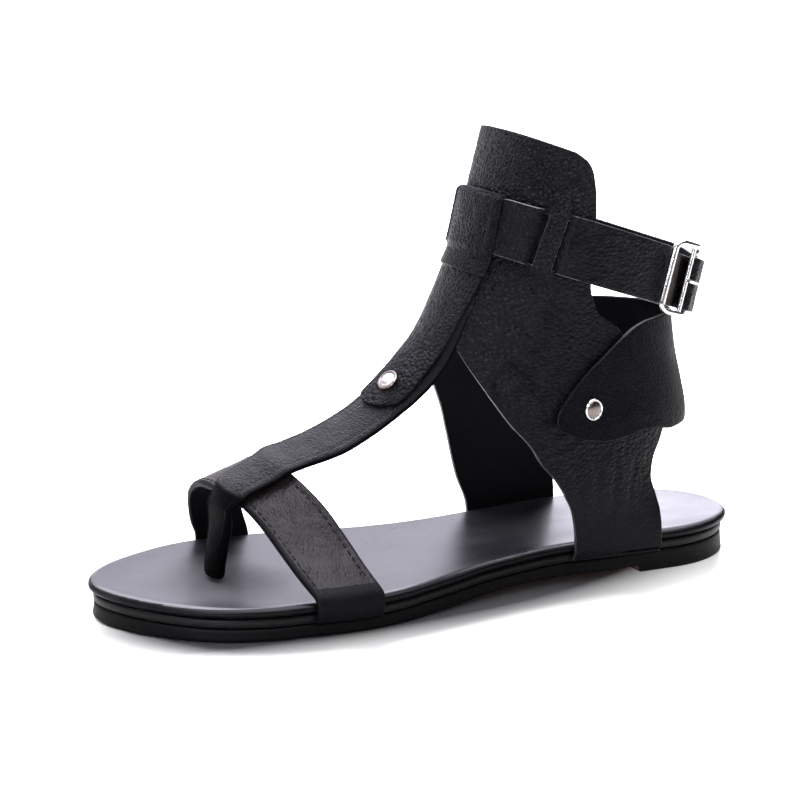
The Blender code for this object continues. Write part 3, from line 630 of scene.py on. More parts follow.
def leather(
    name, tones, stretch=(1, 1, 1), turn=(0, 0, 0), size=1.4, depth=0.2, rough=(0.28, 0.46), calm=(),
    shine=0.08,
):
    """Black tumbled leather: rounded pebbles with creases between them, and finer pores. Tones are its dark
    and its light colour; the dark tone is painted into the creases as shade, and the tone also differs at
    random. Size is a pebble's in millimetres, stretch makes it longer along an axis, and depth is the
    relief's, in millimetres. Each item of calm is (height, height, share): the share of the relief that is
    left below the first height, where all of it is there above the second."""
    n = Nodes(name)
    at = n.scaled_place([1 / (size * s) for s in stretch], turn)
    warp = n.add("TexNoise", {"Vector": at, "Scale": 0.6, "Detail": 2.0}).outputs["Color"]
    at = n.vector("ADD", at, n.vector("SCALE", n.vector("SUBTRACT", warp, (0.5, 0.5, 0.5)), 0.8))
    inputs = {"Vector": at, "Scale": 1.0, "Randomness": 1.0, "Smoothness": 0.3}
    dome = n.add("TexVoronoi", inputs, feature="SMOOTH_F1").outputs["Distance"]
    dome = n.fit(n.math("POWER", dome, 1.5), 0.0, 0.6, 1.0, 0.0)
    cells = n.add("TexVoronoi", {"Vector": at, "Scale": 1.0, "Randomness": 0.9}, feature="DISTANCE_TO_EDGE")
    crease_depth_and_shade = n.fit(cells.outputs["Distance"], 0.0, 0.26, 0.0, 1.0)
    fine, soft = n.noise((2.2, 2.2, 2.2), 3.0), n.noise((0.13, 0.13, 0.13), 3.0)
    height = n.math("MULTIPLY_ADD", fine, 0.55, n.math("MULTIPLY_ADD", crease_depth_and_shade, 0.45, dome))
    strength = n.fit(soft, 0.35, 0.65, 0.55, 1.2)
    for low, high, share in calm:
        level = n.add("SeparateXYZ", {0: n.here}).outputs["Z"]
        strength = n.math("MULTIPLY", strength, n.fit(level, low * MM, high * MM, share, 1.0))
    height = n.math("MULTIPLY", height, strength)
    # Painted shade: the creases between the pebbles take the dark tone; the rest of the tone differs at
    # random.
    tone = n.math("MULTIPLY_ADD", crease_depth_and_shade, 0.55, n.fit(soft, 0.3, 0.7, 0.0, 0.45))
    dull = n.fit(n.math("MULTIPLY_ADD", fine, 0.5, soft), 0.45, 1.05, *rough)
    return n.finish(n.ramp(tone, enumerate(tones)), dull, height, (1.0, depth), {SHINE: shine})


SHINE = "Specular IOR Level"


def grained(name, scale, detail, stops, rough, relief, constants, roughness=0.5):
    """A finish whose colour, roughness and relief follow one noise. Rough is (noise, noise, rough, rough)."""
    n = Nodes(name)
    grain = n.noise(scale, detail, roughness)
    return n.finish(n.ramp(grain, stops), n.fit(grain, *rough), grain, relief, constants)


def footbed_leather(name):
    """Smooth glazed leather with a very fine grain, worn duller round the toe post."""
    n = Nodes(name)
    fine = n.noise((2.2, 1.5, 2.2), 4.0, 0.65)
    soft = n.noise((0.05, 0.03, 0.05), 3.0)
    worn = n.fit(n.vector("DISTANCE", n.here, POST_FOOT), 0.010, 0.034, 0.34, 0.0)
    rough = n.fit(n.math("MULTIPLY_ADD", fine, 0.4, soft), 0.5, 0.9, 0.26, 0.42)
    colour = n.ramp(fine, [(0.3, (0.007, 0.007, 0.009)), (0.7, (0.020, 0.019, 0.026))])
    coat = {"IOR": 1.6, "Coat Weight": 0.3, "Coat Roughness": 0.24}
    return n.finish(colour, n.math("ADD", rough, worn), fine, (0.8, 0.035), coat)


def edge_finish(name, light, rough, shine=0.18):
    """Inked and burnished edges, and rubber, with scuffs that run along the sole. It also paints the
    footbed's rim darker as shade, and the cut edge lighter, partly as a highlight.
    """
    n = Nodes(name)
    along, fine = n.noise((0.5, 0.12, 2.4), 4.0), n.noise((2.4, 2.4, 2.4), 3.0)
    colour = n.ramp(along, [(0.35, [0.35 * c for c in light]), (0.75, light)])
    dull = n.fit(fine, 0.3, 0.7, rough - 0.08, rough + 0.12)
    return n.finish(colour, dull, n.math("MULTIPLY_ADD", fine, 0.6, along), (0.6, 0.05), {SHINE: shine})


def metal(name, colour=(0.78, 0.76, 0.74), rough=0.12):
    """Polished plating with faint wiping marks and slight tarnish in its colour."""
    stops = [(0.25, [0.72 * c for c in colour]), (0.6, colour)]
    dull = (0.3, 0.75, rough, rough + 0.12)
    return grained(name, (0.4, 1.8, 0.4), 4.0, stops, dull, (0.25, 0.02), {"Metallic": 1.0})


CUFF_TONES = (0.0027, 0.0026, 0.0038), (0.0082, 0.0077, 0.0112)
# Painted light: the T-strap's tones are lighter than the cuff's, for the light falling on it.
T_STRAP_PAINTED_LIGHT_TONES = (0.009, 0.008, 0.010), (0.028, 0.026, 0.032)
# Painted light: the cross strap's tones are lighter and warmer than the cuff's, for the light falling on it.
CROSS_PAINTED_LIGHT_TONES = (0.019, 0.015, 0.0155), (0.051, 0.041, 0.044)
BROWN_TONES = (0.016, 0.008, 0.007), (0.045, 0.024, 0.020)
# Painted shade: near black for the folded edges, the front fold, the cross strap's wrap and the tongue's
# edges.
FOLD_SHADE_TONES = (0.002, 0.002, 0.003), (0.004, 0.004, 0.006)
# Painted shade: near black for the toe post, which faces away from the light.
POST_SHADE_TONES = (0.001, 0.001, 0.0015), (0.002, 0.002, 0.003)
FLESH = [(0.3, (0.003, 0.003, 0.005)), (0.7, (0.008, 0.008, 0.012))]
BOARD = [(0.3, (0.10, 0.055, 0.035)), (0.7, (0.20, 0.12, 0.08))]
THREAD = [(0.3, (0.004, 0.004, 0.005)), (0.7, (0.02, 0.018, 0.02))]
CALM = ((26, 40, 0.35), (100, 128, 0.34))

inside_leather = grained(
    "leather_flesh_side", (1.6, 1.6, 1.6), 4.0, FLESH, (0.3, 0.7, 0.6, 0.8), (0.6, 0.05), {SHINE: 0.08}
)
outsole_board = grained(
    "outsole_board", (0.9, 0.35, 0.9), 5.0, BOARD, (0.3, 0.7, 0.55, 0.8), (0.5, 0.08), {}, roughness=0.7
)
dark_thread = grained(
    "dark_thread", (3.0, 3.0, 3.0), 2.0, THREAD, (0.3, 0.7, 0.5, 0.75), (0.5, 0.05), {SHINE: 0.1}
)
# Cut edges: a lighter grey, made lighter still as a painted highlight where the edges catch the light.
cut_edge_painted_highlight = edge_finish("leather_cut_edge", (0.050, 0.047, 0.053), 0.42, shine=1.0)
inked_edge = edge_finish("leather_inked_edge", (0.004, 0.004, 0.005), 0.45)
# Painted shade: the footbed's rolled rim, darker where it turns away from the light.
painted_rim_shade = edge_finish("footbed_rim_painted_shade", (0.004, 0.004, 0.006), 0.36, shine=0.12)
midsole_edge = edge_finish("midsole_edge", (0.010, 0.010, 0.012), 0.42)
outsole_rubber = edge_finish("outsole_rubber", (0.007, 0.007, 0.0085), 0.5, shine=0.1)
cuff_leather = leather("cuff_leather", CUFF_TONES, stretch=(1, 1.5, 1), turn=(35, 0, 0), depth=0.8, calm=CALM)
tongue_leather = leather("tongue_leather", CUFF_TONES, size=1.6, depth=0.7)
keeper_leather = leather("keeper_leather", CUFF_TONES, size=1.3, depth=0.42, shine=0.05)
band_leather = leather("heel_band_leather", CUFF_TONES, size=1.1, depth=0.16, shine=0.03, rough=(0.4, 0.55))
strap_leather = leather("ankle_strap_leather", CUFF_TONES, size=1.3, depth=0.22, stretch=(1, 1.4, 1))
# Painted light: the T-strap is the cuff's black leather, coloured lighter for the light falling on it.
t_leather = leather("t_strap_leather_painted_light", T_STRAP_PAINTED_LIGHT_TONES, stretch=(1.7, 0.8, 0.8), size=1.1, depth=0.22, shine=0.1)
# Painted light: the cross strap is the same black leather, coloured lighter and warmer for the light on it.
cross_painted_light = leather(
    "cross_strap_leather_painted_light", CROSS_PAINTED_LIGHT_TONES, stretch=(2.0, 0.8, 1.6), size=1.0, depth=0.11, shine=0.1
)
brown_leather = leather("strap_under_buckle", BROWN_TONES, size=0.9, depth=0.06, shine=0.5)
# Painted shade on the folded edges, the T-strap's front fold and the cross strap's wrap under the rim.
fold_painted_shade = leather("folded_edge_painted_shade", FOLD_SHADE_TONES, size=0.8, depth=0.06, rough=(0.5, 0.65))
# Painted shade: the toe post and the T-strap's cut edges are coloured near black.
post_painted_shade = leather("toe_post_leather", POST_SHADE_TONES, size=0.8, depth=0.06, rough=(0.6, 0.75), shine=0.02)
footbed_finish = footbed_leather("footbed_glazed")
bright_metal = metal("bright_metal")
# A darker brownish plating, on the heel rivets' domes and the instep rivet's ring.
dark_metal = metal("dark_brownish_metal", colour=(0.20, 0.17, 0.155), rough=0.2)
satin_metal = metal("satin_metal", rough=0.34)


# ---- the cuff and its legs
def band_station(height):
    return 92.2 - 0.3 * (height - STRAP_LOW)


def cuff_raise(station, height):
    """The bulge where the ankle strap passes behind the cuff's narrow band."""
    beyond = np.maximum(np.maximum(STRAP_LOW - 1.2 - height, height - STRAP_HIGH - 1.2), 0)
    flat = BAND_HALF - 0.8 * smooth(beyond / 3)
    near = 1 - smooth((np.abs(station - band_station(height)) - flat) / 2.2)
    return BAND_RAISE * near * (1 - smooth(beyond / 5))


def cuff_relief(points, station, height, side):
    """Coarse wrinkles of the cuff: long ones on the leg, and short ones over the strap."""
    on_leg = smooth((82 - height) / 14) * smooth((height - 24) / 10)
    slanted = ridges(turned(points, 38), (3, 6.5, 1.7), 11) * np.exp(-(((height - 62) / 17) ** 2))
    slanted *= smooth((station - 62) / 20)
    drapes = ridges(turned(points, 82), (3, 8.5, 2.0), 12) * smooth((58 - height) / 10) * on_leg
    high = ridges(turned(points, 20), (2.6, 3.4, 1.7), 13) * smooth((height - 118) / 12)
    high *= smooth((station - 78) / 8)
    pebbles = lattice_noise(points, 1.7, 14) * (0.35 + 0.65 * smooth((height - 28) / 12))
    smooth_zone = 1 - 0.8 * np.exp(-(((station - 92) / 8) ** 2 + ((height - 96) / 9) ** 2))
    total = 0.20 * slanted + 0.17 * drapes + 0.14 * high + 0.045 * pebbles * smooth_zone
    total += 0.16 * lattice_noise(points, 16, 15)
    return total + creases(station, height, CUFF_CREASES) if side > 0 else total


# Lines of (station, height) on the outer side, each with a width and a depth in millimetres.
CUFF_CREASES = [
    ([(101, 57), (94, 60), (86, 66), (78, 71)], 1.3, 0.30),
    ([(99, 52), (92, 54), (84, 59), (74, 66)], 1.2, 0.34),
    ([(96, 47), (89, 50), (82, 53), (76, 57)], 1.1, 0.28),
    ([(104, 63), (97, 67), (89, 73), (80, 80)], 1.3, 0.22),
    ([(84, 49), (80, 43), (79, 36), (78, 29)], 1.4, 0.26),
    ([(74, 50), (71, 42), (71, 34), (70, 27)], 1.3, 0.24),
    ([(64, 50), (63, 43), (64, 35), (64, 27)], 1.5, 0.28),
    ([(55, 49), (56, 42), (57, 35), (57, 29)], 1.3, 0.22),
    ([(104, 107.5), (99, 106), (94, 107.5), (90, 108.5)], 1.0, 0.35),
    ([(102, 103), (96, 102), (91, 104)], 1.1, 0.20),
    ([(88, 137), (84, 140), (80, 147)], 1.3, 0.22),
    ([(93, 136), (89, 141), (86, 149)], 1.2, 0.20),
]


def build_cuff():
    """Both sides of the cuff, joined at the front where it is high enough. The columns run from the front to
    the rear edge in five spans, which end at the slots' edges and at those of the band between them."""
    slot_low, slot_high = STRAP_LOW - SLOT_GAP, STRAP_HIGH + SLOT_GAP
    levels = (CUFF_LOW, slot_low, slot_high, CUFF_HIGH)
    heights = [spread(low, high, CUFF_STEP)[:-1] for low, high in zip(levels, levels[1:])]
    heights = np.concatenate(heights + [[CUFF_HIGH]])
    offsets = (-SLOT_HALF, -BAND_HALF, BAND_HALF, SLOT_HALF)
    lengths = (24, SLOT_HALF - BAND_HALF, 2 * BAND_HALF, SLOT_HALF - BAND_HALF, 11)
    columns = [k + shares(length, CUFF_STEP)[:-1] for k, length in enumerate(lengths)]
    columns = np.concatenate(columns + [[len(lengths)]])
    whole = np.minimum(columns.astype(int), len(lengths) - 1)
    aligned = smooth((heights - 92) / 12) * (1 - smooth((heights - 136) / 10))
    halves = []
    for side, prefix in ((-1, "inner_"), (1, "")):
        front = station_angle(CUFF.at(prefix + "front", heights), heights)
        front = np.where(heights >= CUFF_JOINS, 0.0, front)
        back = station_angle(CUFF.at(prefix + "back", heights), heights)
        knots = [np.zeros_like(heights)]
        for flat, offset in zip((0.53, 0.61, 0.75, 0.83), offsets):
            share = (station_angle(band_station(heights) - offset, heights) - front) / (back - front)
            knots.append(flat + (share - flat) * aligned)
        knots = np.stack(knots + [np.ones_like(heights)], axis=1)
        share = knots[:, whole] + (knots[:, whole + 1] - knots[:, whole]) * (columns - whole)
        angle = side * (front[:, None] + (back - front)[:, None] * share + 1e-4)
        height = np.broadcast_to(heights[:, None], angle.shape)
        normal, at = normal_of(leg, angle, height), leg(angle, height)
        base = at + normal * cuff_raise(station_of(at), height)[..., None]
        relief = cuff_relief(at, station_of(at), height, side)
        halves.append([part[:, ::side] for part in (base, normal, relief)])
    base, normal, relief = (np.concatenate(parts, axis=1) for parts in zip(*halves))
    in_slot = (heights[:-1] > slot_low - 0.01) & (heights[1:] < slot_high + 0.01)
    cells = ~(in_slot[:, None] & np.isin(whole[:-1], (1, 3)))
    cells = np.concatenate([cells[:, ::-1], np.zeros((len(cells), 1), bool), cells], axis=1)
    joins = [(row, len(columns), len(columns) - 1) for row in np.nonzero(heights >= CUFF_JOINS)[0]]
    # The cut edge's light colour is partly a painted highlight.
    finishes = (inside_leather, cut_edge_painted_highlight, cuff_leather)
    shape = {"cells": cells, "joins": joins, "edge": 0.5}
    leather_wall("cuff", ["upper"], base, normal, LEATHER, finishes, relief, **shape)


# ---- the straps over the foot
def along_ridge(heights, half_width, out, step, aside=0.0, skew=0.0):
    """Inner points and normals of a strap along the instep's ridge. Skew raises its outer edge."""
    widest = float(np.max(half_width))
    columns = 2 * shares(2 * widest, step) - 1
    height = heights[:, None] + np.reshape(skew, (-1, 1)) * columns[None, :] * half_width[:, None] / widest
    offset = columns[None, :] * half_width[:, None] + np.reshape(aside, (-1, 1))
    angle = ridge_angle(offset, height) + 1e-5
    normal = normal_of(ankle, angle, height)
    return ankle(angle, height) + normal * out[:, None, None], normal, columns


def folded_edge(across, bead, groove):
    """The relief of a turned-in edge: a bead, then the stitches' groove. All distances are from the edge."""
    return 0.22 * np.exp(-(((across - bead) / 0.9) ** 2)) - 0.20 * np.exp(-(((across - groove) / 0.45) ** 2))


def build_t_strap():
    """The strap on the instep's ridge, with the folded toe post that it turns down into at its front."""
    heights = spread(T_STRAP_LOW, T_STRAP_HIGH, 0.42, ends=(False, True))
    half, out = T_STRAP.at("half_width", heights), T_STRAP.at("out", heights) + 0.55
    base, normal, columns = along_ridge(heights, half, out, 0.7, aside=T_STRAP.at("aside", heights))
    share = (1 - 0.96 * shares(POST_LENGTH, 0.5, ends=(True, False)))[:-1]
    facing = np.radians(POST.at("facing", share))
    forward = np.stack((0 * facing, -np.cos(facing), np.sin(facing)), axis=-1)
    centre = spot(POST.at("station", share), POST.at("x", share), POST.at("height", share))
    side = columns[None, :, None] * POST.at("half_width", share)[:, None, None] * np.array((1, 0, 0))
    thick = POST.at("thick", share)[:, None] * np.sqrt(1 - 0.7 * columns[None, :] ** 2)
    post_normal = np.broadcast_to(forward[:, None], side.shape)
    base = np.concatenate((centre[:, None] + side - post_normal * thick[..., None] / 2, base))
    normal = np.concatenate((post_normal, normal))
    thick = np.concatenate((thick, np.full((len(heights), len(columns)), FOLDED)))
    # Painted shade: zone 1 darkens the strap's near edge, in a band that widens beside the tongue, and its
    # front row where it turns down; zone 2 colours the post near black.
    zones = np.zeros(base.shape[:2], int)
    rows = np.concatenate((np.full(len(share), T_STRAP_LOW), heights))
    zones[(1 - columns[None, :]) * 10 < np.interp(rows, (58, 72), (1.2, 3.2))[:, None]] = 1
    zones[rows < T_STRAP_LOW + 0.3] = 1
    zones[: len(share)] = 2
    relief = folded_edge((1 - np.abs(columns)) * 10, 1.6, 2.7) + 0.10 * lattice_noise(base, 9, 21)
    relief += 0.07 * ridges(base, (7, 1.5, 1.5), 22) + 0.03 * lattice_noise(base, (1.6, 1.3, 1.3), 23)
    finishes = (inside_leather, post_painted_shade, t_leather, fold_painted_shade, post_painted_shade)
    shape = {"edge": 0.9, "square": 2.2, "ink": 0.35, "zones": zones}
    leather_wall("t_strap", ["upper"], base, normal, thick, finishes, relief, **shape)


def cross_grid(across):
    """Shares along and across the cross strap, its inner points and its normals."""
    arch = np.linspace(-CROSS_RIM, CROSS_RIM, 147)
    tucked = CROSS_RIM + (1 - CROSS_RIM) * shares(8.5, 0.35, ends=(False, True))[1:]
    alongs = np.concatenate((-tucked[::-1], arch, tucked))
    along, across = np.meshgrid(alongs, across, indexing="ij")
    normal = normal_of(cross, along, across, (0.004, 0.02))
    return alongs, along, across, smoothed(cross(along, across), 14), normal


def smoothed(values, passes):
    """Rows averaged with their neighbours, with the end rows kept."""
    for _ in range(passes):
        values = np.concatenate((values[:1], (values[:-2] + 2 * values[1:-1] + values[2:]) / 4, values[-1:]))
    return values


def build_cross_strap():
    alongs, along, across, base, normal = cross_grid(shares(CROSS_WIDTH, 0.7, edge=0.9))
    normal = smoothed(normal, 6)
    normal /= np.linalg.norm(normal, axis=-1)[..., None]
    edge_gap = np.minimum(across, 1 - across) * CROSS_WIDTH
    flow = ridges(base, (8, 2.2, 6), 31) * smooth((base[..., 2] - 14) / 6)
    relief = folded_edge(edge_gap, 1.4, GROOVE) + 0.10 * flow + 0.10 * lattice_noise(base, 10, 32)
    relief = relief + 0.03 * lattice_noise(base, (1.4, 2.2, 1.4), 33)
    thick = FOLDED - 0.5 * (1 - smooth((np.abs(along) - 0.02) / 0.12))
    # Painted shade: the folded edges and the wrap under the rim get the dark fold colour.
    zones = ((edge_gap < 1.1) | (along > CROSS_WRAP_SHADE)).astype(int)
    finishes = (inside_leather, fold_painted_shade, cross_painted_light, fold_painted_shade)
    shape = {"edge": 0.9, "square": 2.2, "zones": zones}
    leather_wall("cross_strap", [], base, normal, thick, finishes, relief, **shape)


def build_stitches():
    """Two rows of dark stitches on the cross strap, set into the grooves inside its folded edges."""
    points, faces = [], []
    sides, rings = 6, ((-1.0, 0.0), (-0.85, 0.8), (-0.4, 1.0), (0.4, 1.0), (0.85, 0.8), (1.0, 0.0))
    turn = math.tau * np.arange(sides)[:, None] / sides
    long, wide, tall = STITCH
    for row in (GROOVE / CROSS_WIDTH, 1 - GROOVE / CROSS_WIDTH):
        alongs, _, _, base, normal = cross_grid((row,))
        line, normal = base[:, 0] + normal[:, 0] * (FOLDED + 0.02), normal[:, 0]
        run = np.concatenate(([0], np.cumsum(np.linalg.norm(np.diff(line, axis=0), axis=1))))

        def read(data, where):
            return np.array([np.interp(where, run, data[:, k]) for k in range(3)])

        for start in np.arange(*np.interp(STITCH_SPAN, alongs, run), STITCH_PITCH):
            middle, up = read(line, start), read(normal, start)
            ahead = read(line, start + 0.5) - middle
            ahead /= np.linalg.norm(ahead)
            ring = np.cross(up, ahead) * np.cos(turn) * wide + up * np.sin(turn) * tall
            faces += ring_faces(len(rings), sides, first=len(points))
            for shift, size in rings:
                points.extend(middle + ahead * shift * long + ring * max(size, 0.15) + up * 0.12 * (size - 1))
    place(finish_object("cross_stitches", points, faces, (dark_thread,)), "black_leather")


def build_tongue():
    heights = spread(TONGUE_LOW, TONGUE_HIGH, 0.42)
    half = TONGUE.at("half_width", heights)
    tip = np.clip((heights - TONGUE_LOW) / TONGUE_TIP, 0, 1)
    half = np.where(tip < 1, np.minimum(half, 9.25 * np.sqrt(1 - (1 - tip) ** 2.4) + 0.4), half)
    skew, aside = 3.2 * (1 - smooth((heights - 60) / 14)), 0.6 * (1 - smooth((heights - 62) / 12))
    base, normal, _ = along_ridge(heights, half, TONGUE.at("out", heights), 0.65, aside, skew)
    relief = 0.06 * lattice_noise(base, (1.8, 1.6, 1.6), 41) + 0.10 * lattice_noise(base, 8, 42)
    relief = relief + 0.07 * ridges(base, (5, 2.0, 2.0), 43)
    # The tongue's cut edge gets the fold's painted shade, for the shadow under its edge.
    finishes = (inside_leather, fold_painted_shade, tongue_leather)
    leather_wall("tongue_strap", ["tongue"], base, normal, LEATHER, finishes, relief)


def build_keeper():
    heights = spread(KEEPER_LOW, KEEPER_HIGH, 0.4)
    half = np.full(len(heights), KEEPER_HALF_WIDTH)
    base, normal, columns = along_ridge(heights, half, KEEPER.at("out", heights), 0.6)
    across = (1 - np.abs(columns)) * KEEPER_HALF_WIDTH
    on_strap = (smooth((heights - 108.6) / 1.2) * (1 - smooth((heights - 131.2) / 1.2)))[:, None]
    bead = 0.5 * smooth(across / 0.8) * (1 - smooth((across - 2.4) / 0.8))
    relief = bead * on_strap + 0.05 * lattice_noise(base, 1.5, 51) * on_strap
    relief = relief + 0.12 * lattice_noise(base, 9, 52)
    relief = relief - 0.22 * np.exp(-(((heights - KEEPER_BEND) / 0.6) ** 2))[:, None]
    finishes = (inside_leather, inked_edge, keeper_leather)
    leather_wall("keeper", ["strap_keeper"], base, normal, THIN, finishes, relief, edge=0.5)


# ---- the straps round the ankle
def folded_angle(turn):
    return np.radians((turn + 180) % 360 - 180)


def strap_out(turn, height):
    """How far the ankle strap stands off the foot, dipping where it passes behind the cuff's bands."""
    angle = folded_angle(turn)
    station = LENGTH / 2 - ankle(angle, height)[..., 1]
    near = 1 - smooth((np.abs(station - band_station(height)) - 2.6) / 3.4)
    return STRAP.at("out", turn) - BAND_DIP * near * (np.cos(angle) > 0)


def strap_rise(turn):
    return STRAP_RISE * smooth((-60 - turn) / 45) * smooth((turn + 200) / 40)


def strap_height(turn, height):
    """The strap is a little wider on the outer side than where it passes the buckle."""
    wider = (0.5 + 0.5 * smooth((turn - 45) / 35)) * smooth((turn - 20) / 15) * (1 - smooth((turn - 123) / 9))
    share = (height - STRAP_LOW) / (STRAP_HIGH - STRAP_LOW)
    return height + wider * (2.2 * share - 0.4) + strap_rise(turn)


def buckle_place():
    return surface_frame(strap_loop, math.radians(BUCKLE_ANGLE), STRAP_MIDDLE + BUCKLE_LIFT, BUCKLE_OUT)


def build_ankle_strap():
    """The strap from its free end round the ankle, and its loop round the buckle's back bar."""
    columns = shares(STRAP_HIGH - STRAP_LOW, 0.75, edge=0.5)
    heights = STRAP_LOW + (STRAP_HIGH - STRAP_LOW) * columns
    turns = np.linspace(STRAP_START, STRAP_TIP, 420)[::-1]
    turns = np.concatenate((STRAP_TIP - np.array((0, 0.03, 0.09, 0.2, 0.4)), turns[1:]))
    turn, height = np.meshgrid(turns, heights, indexing="ij")
    angle, up = folded_angle(turn), strap_height(turn, height)
    normal = normal_of(strap_loop, angle, up)
    base = strap_loop(angle, up) + normal * strap_out(turn, height)[..., None]
    centre, ahead, across, outward = buckle_place()
    around = np.radians(np.concatenate((np.arange(90, 271, 7.5), np.full(9, 270.0))))[:, None]
    back = np.concatenate((np.zeros(25), np.linspace(LOOP_RETURN / 9, LOOP_RETURN, 9)))
    side = LOOP_HALF_WIDTH * (2 * columns - 1) - BUCKLE_LIFT
    away = np.cos(around) * ahead + np.sin(around) * outward
    loop = centre + ahead * BUCKLE_BACK + back[:, None] * ahead + away * LOOP_RADII[0]
    loop = loop[:, None] + side[None, :, None] * across
    loop_normal = np.broadcast_to(away[:, None], loop.shape)
    ease = np.array((0.25, 0.5, 0.75))[:, None, None]
    bridge = base[-1] + (loop[0] - base[-1]) * ease
    bridge_normal = normal[-1] + (loop_normal[0] - normal[-1]) * ease
    bridge_normal /= np.linalg.norm(bridge_normal, axis=-1)[..., None]
    loop_thick = np.full(len(loop), LOOP_RADII[1] - LOOP_RADII[0])
    thick = np.concatenate((np.full(len(base), THIN), np.linspace(1.4, 1.15, 3), loop_thick))[:, None]
    puckers = creases(station_of(base), height, STRAP_PUCKERS) * ((turn > 0) & (turn < 120))
    base, normal = np.concatenate((base, bridge, loop)), np.concatenate((normal, bridge_normal, loop_normal))
    relief = 0.05 * lattice_noise(base, 1.6, 61) + 0.14 * lattice_noise(base, 11, 62)
    relief = relief + 0.08 * ridges(base, (5, 5, 2.0), 63)
    relief[: len(turns)] += puckers
    zones = np.zeros((len(base), 1), int)
    zones[: len(turns), 0] = (turns > BUCKLE_ANGLE - 7) & (turns < BUCKLE_ANGLE + 1)
    # The cut edge's light colour is partly a painted highlight.
    finishes = (inside_leather, cut_edge_painted_highlight, strap_leather, brown_leather)
    shape = {"edge": 0.45, "zones": zones}
    leather_wall("ankle_strap_leather", ["ankle_strap"], base, normal, thick, finishes, relief, **shape)


# Small puckers where the strap comes out from behind the outer band, as (station, height) lines.
STRAP_PUCKERS = [
    ([(84.5, 128.5), (82, 127.5), (80, 128.2)], 0.7, 0.22),
    ([(84, 125.5), (81.5, 125.0), (79.5, 126.2)], 0.7, 0.18),
    ([(84.6, 114), (81.5, 113.2), (79, 114.2)], 0.8, 0.16),
    ([(104.5, 126), (101, 124.0), (98, 124.5)], 0.8, 0.22),
    ([(103.5, 121), (100, 119.5), (97, 121)], 0.7, 0.18),
    ([(104, 116), (101, 114.8), (98, 116)], 0.8, 0.20),
]


# As the cuff's creases are, on the band's outer side.
HEEL_CREASES = [([(61, 89), (60, 86), (59.5, 82)], 0.9, 0.30), ([(58, 60), (52, 58), (46, 58)], 1.6, 0.18)]


def build_heel_band():
    start = HEEL_BAND_START
    half_turns = start + (180 - start) * shares(95, 0.7, ends=(True, False))
    turns = np.concatenate((half_turns, -half_turns[:-1][::-1]))
    turn, share = np.meshgrid(turns, shares(40, 0.75), indexing="xy")
    low, high = HEEL_BAND.at("lower", np.abs(turn)), HEEL_BAND.at("upper", np.abs(turn))
    angle = np.radians(np.where(turn > 0, turn, turn + 360))
    high = high + HEEL_BAND_DROP * np.minimum(np.sin(angle), 0)
    height = plane_height(angle, low + (high - low) * share)
    normal = normal_of(ankle, angle, height)
    lift = 1.5 * (1 - share) ** 2 * (1 - smooth((np.abs(turn) - 95) / 40))
    base = ankle(angle, height) + normal * (OVER_LEATHER + lift)[..., None]
    relief = 0.03 * lattice_noise(base, 1.3, 71) + 0.22 * lattice_noise(base, 18, 72)
    relief += creases(station_of(base), base[..., 2], HEEL_CREASES) * (base[..., 0] > 0)
    finishes = (inside_leather, inked_edge, band_leather)
    leather_wall("heel_band_leather", ["heel_band"], base, normal, LEATHER, finishes, relief)


# ---- the sole
def sole_stations(step):
    heel = HEEL_ROUND * (1 - np.cos(np.linspace(0, math.pi / 2, int(1.57 * HEEL_ROUND / step))))
    toe = LENGTH - TOE_ROUND * (1 - np.sin(np.linspace(0, math.pi / 2, int(1.57 * TOE_ROUND / step))))
    middle = np.linspace(HEEL_ROUND, LENGTH - TOE_ROUND, int((LENGTH - TOE_ROUND - HEEL_ROUND) / step))
    middle = np.union1d(middle, (HEEL_LENGTH - 0.3, HEEL_LENGTH + 0.3))
    return np.concatenate((heel[:-1], middle, toe[1:]))


def build_footbed():
    columns = 2 * shares(80, 1.1, edge=1.5) - 1
    station, column = np.meshgrid(sole_stations(1.3), columns, indexing="ij")
    x = rim(station, column)
    base = spot(station, x, SOLE.at("top", station) - FOOTBED_THICK)
    normal = np.broadcast_to(np.array((0.0, 0.0, 1.0)), base.shape)
    dish = -0.5 * np.exp(-(((x + 1) / 17) ** 2) - ((station - 33) / 24) ** 2)
    dish = dish - 0.35 * np.exp(-(((x + 4) / 26) ** 2) - ((station - 185) / 26) ** 2)
    relief = dish + 0.10 * lattice_noise(base, (26, 40, 26), 81) + 0.02 * lattice_noise(base, (5, 7, 5), 82)
    # The rolled rim's band and the cut edge get painted shade.
    finishes = (midsole_edge, painted_rim_shade, footbed_finish, painted_rim_shade)
    shaded_rim = (np.abs(column) > RIM_SHADE_START).astype(int)
    shape = {"slot": "footbed_leather", "edge": 2.9, "square": 2.0, "ink": 1.0, "zones": shaded_rim}
    leather_wall("footbed_leather", ["footbed"], base, normal, FOOTBED_THICK, finishes, relief, **shape)


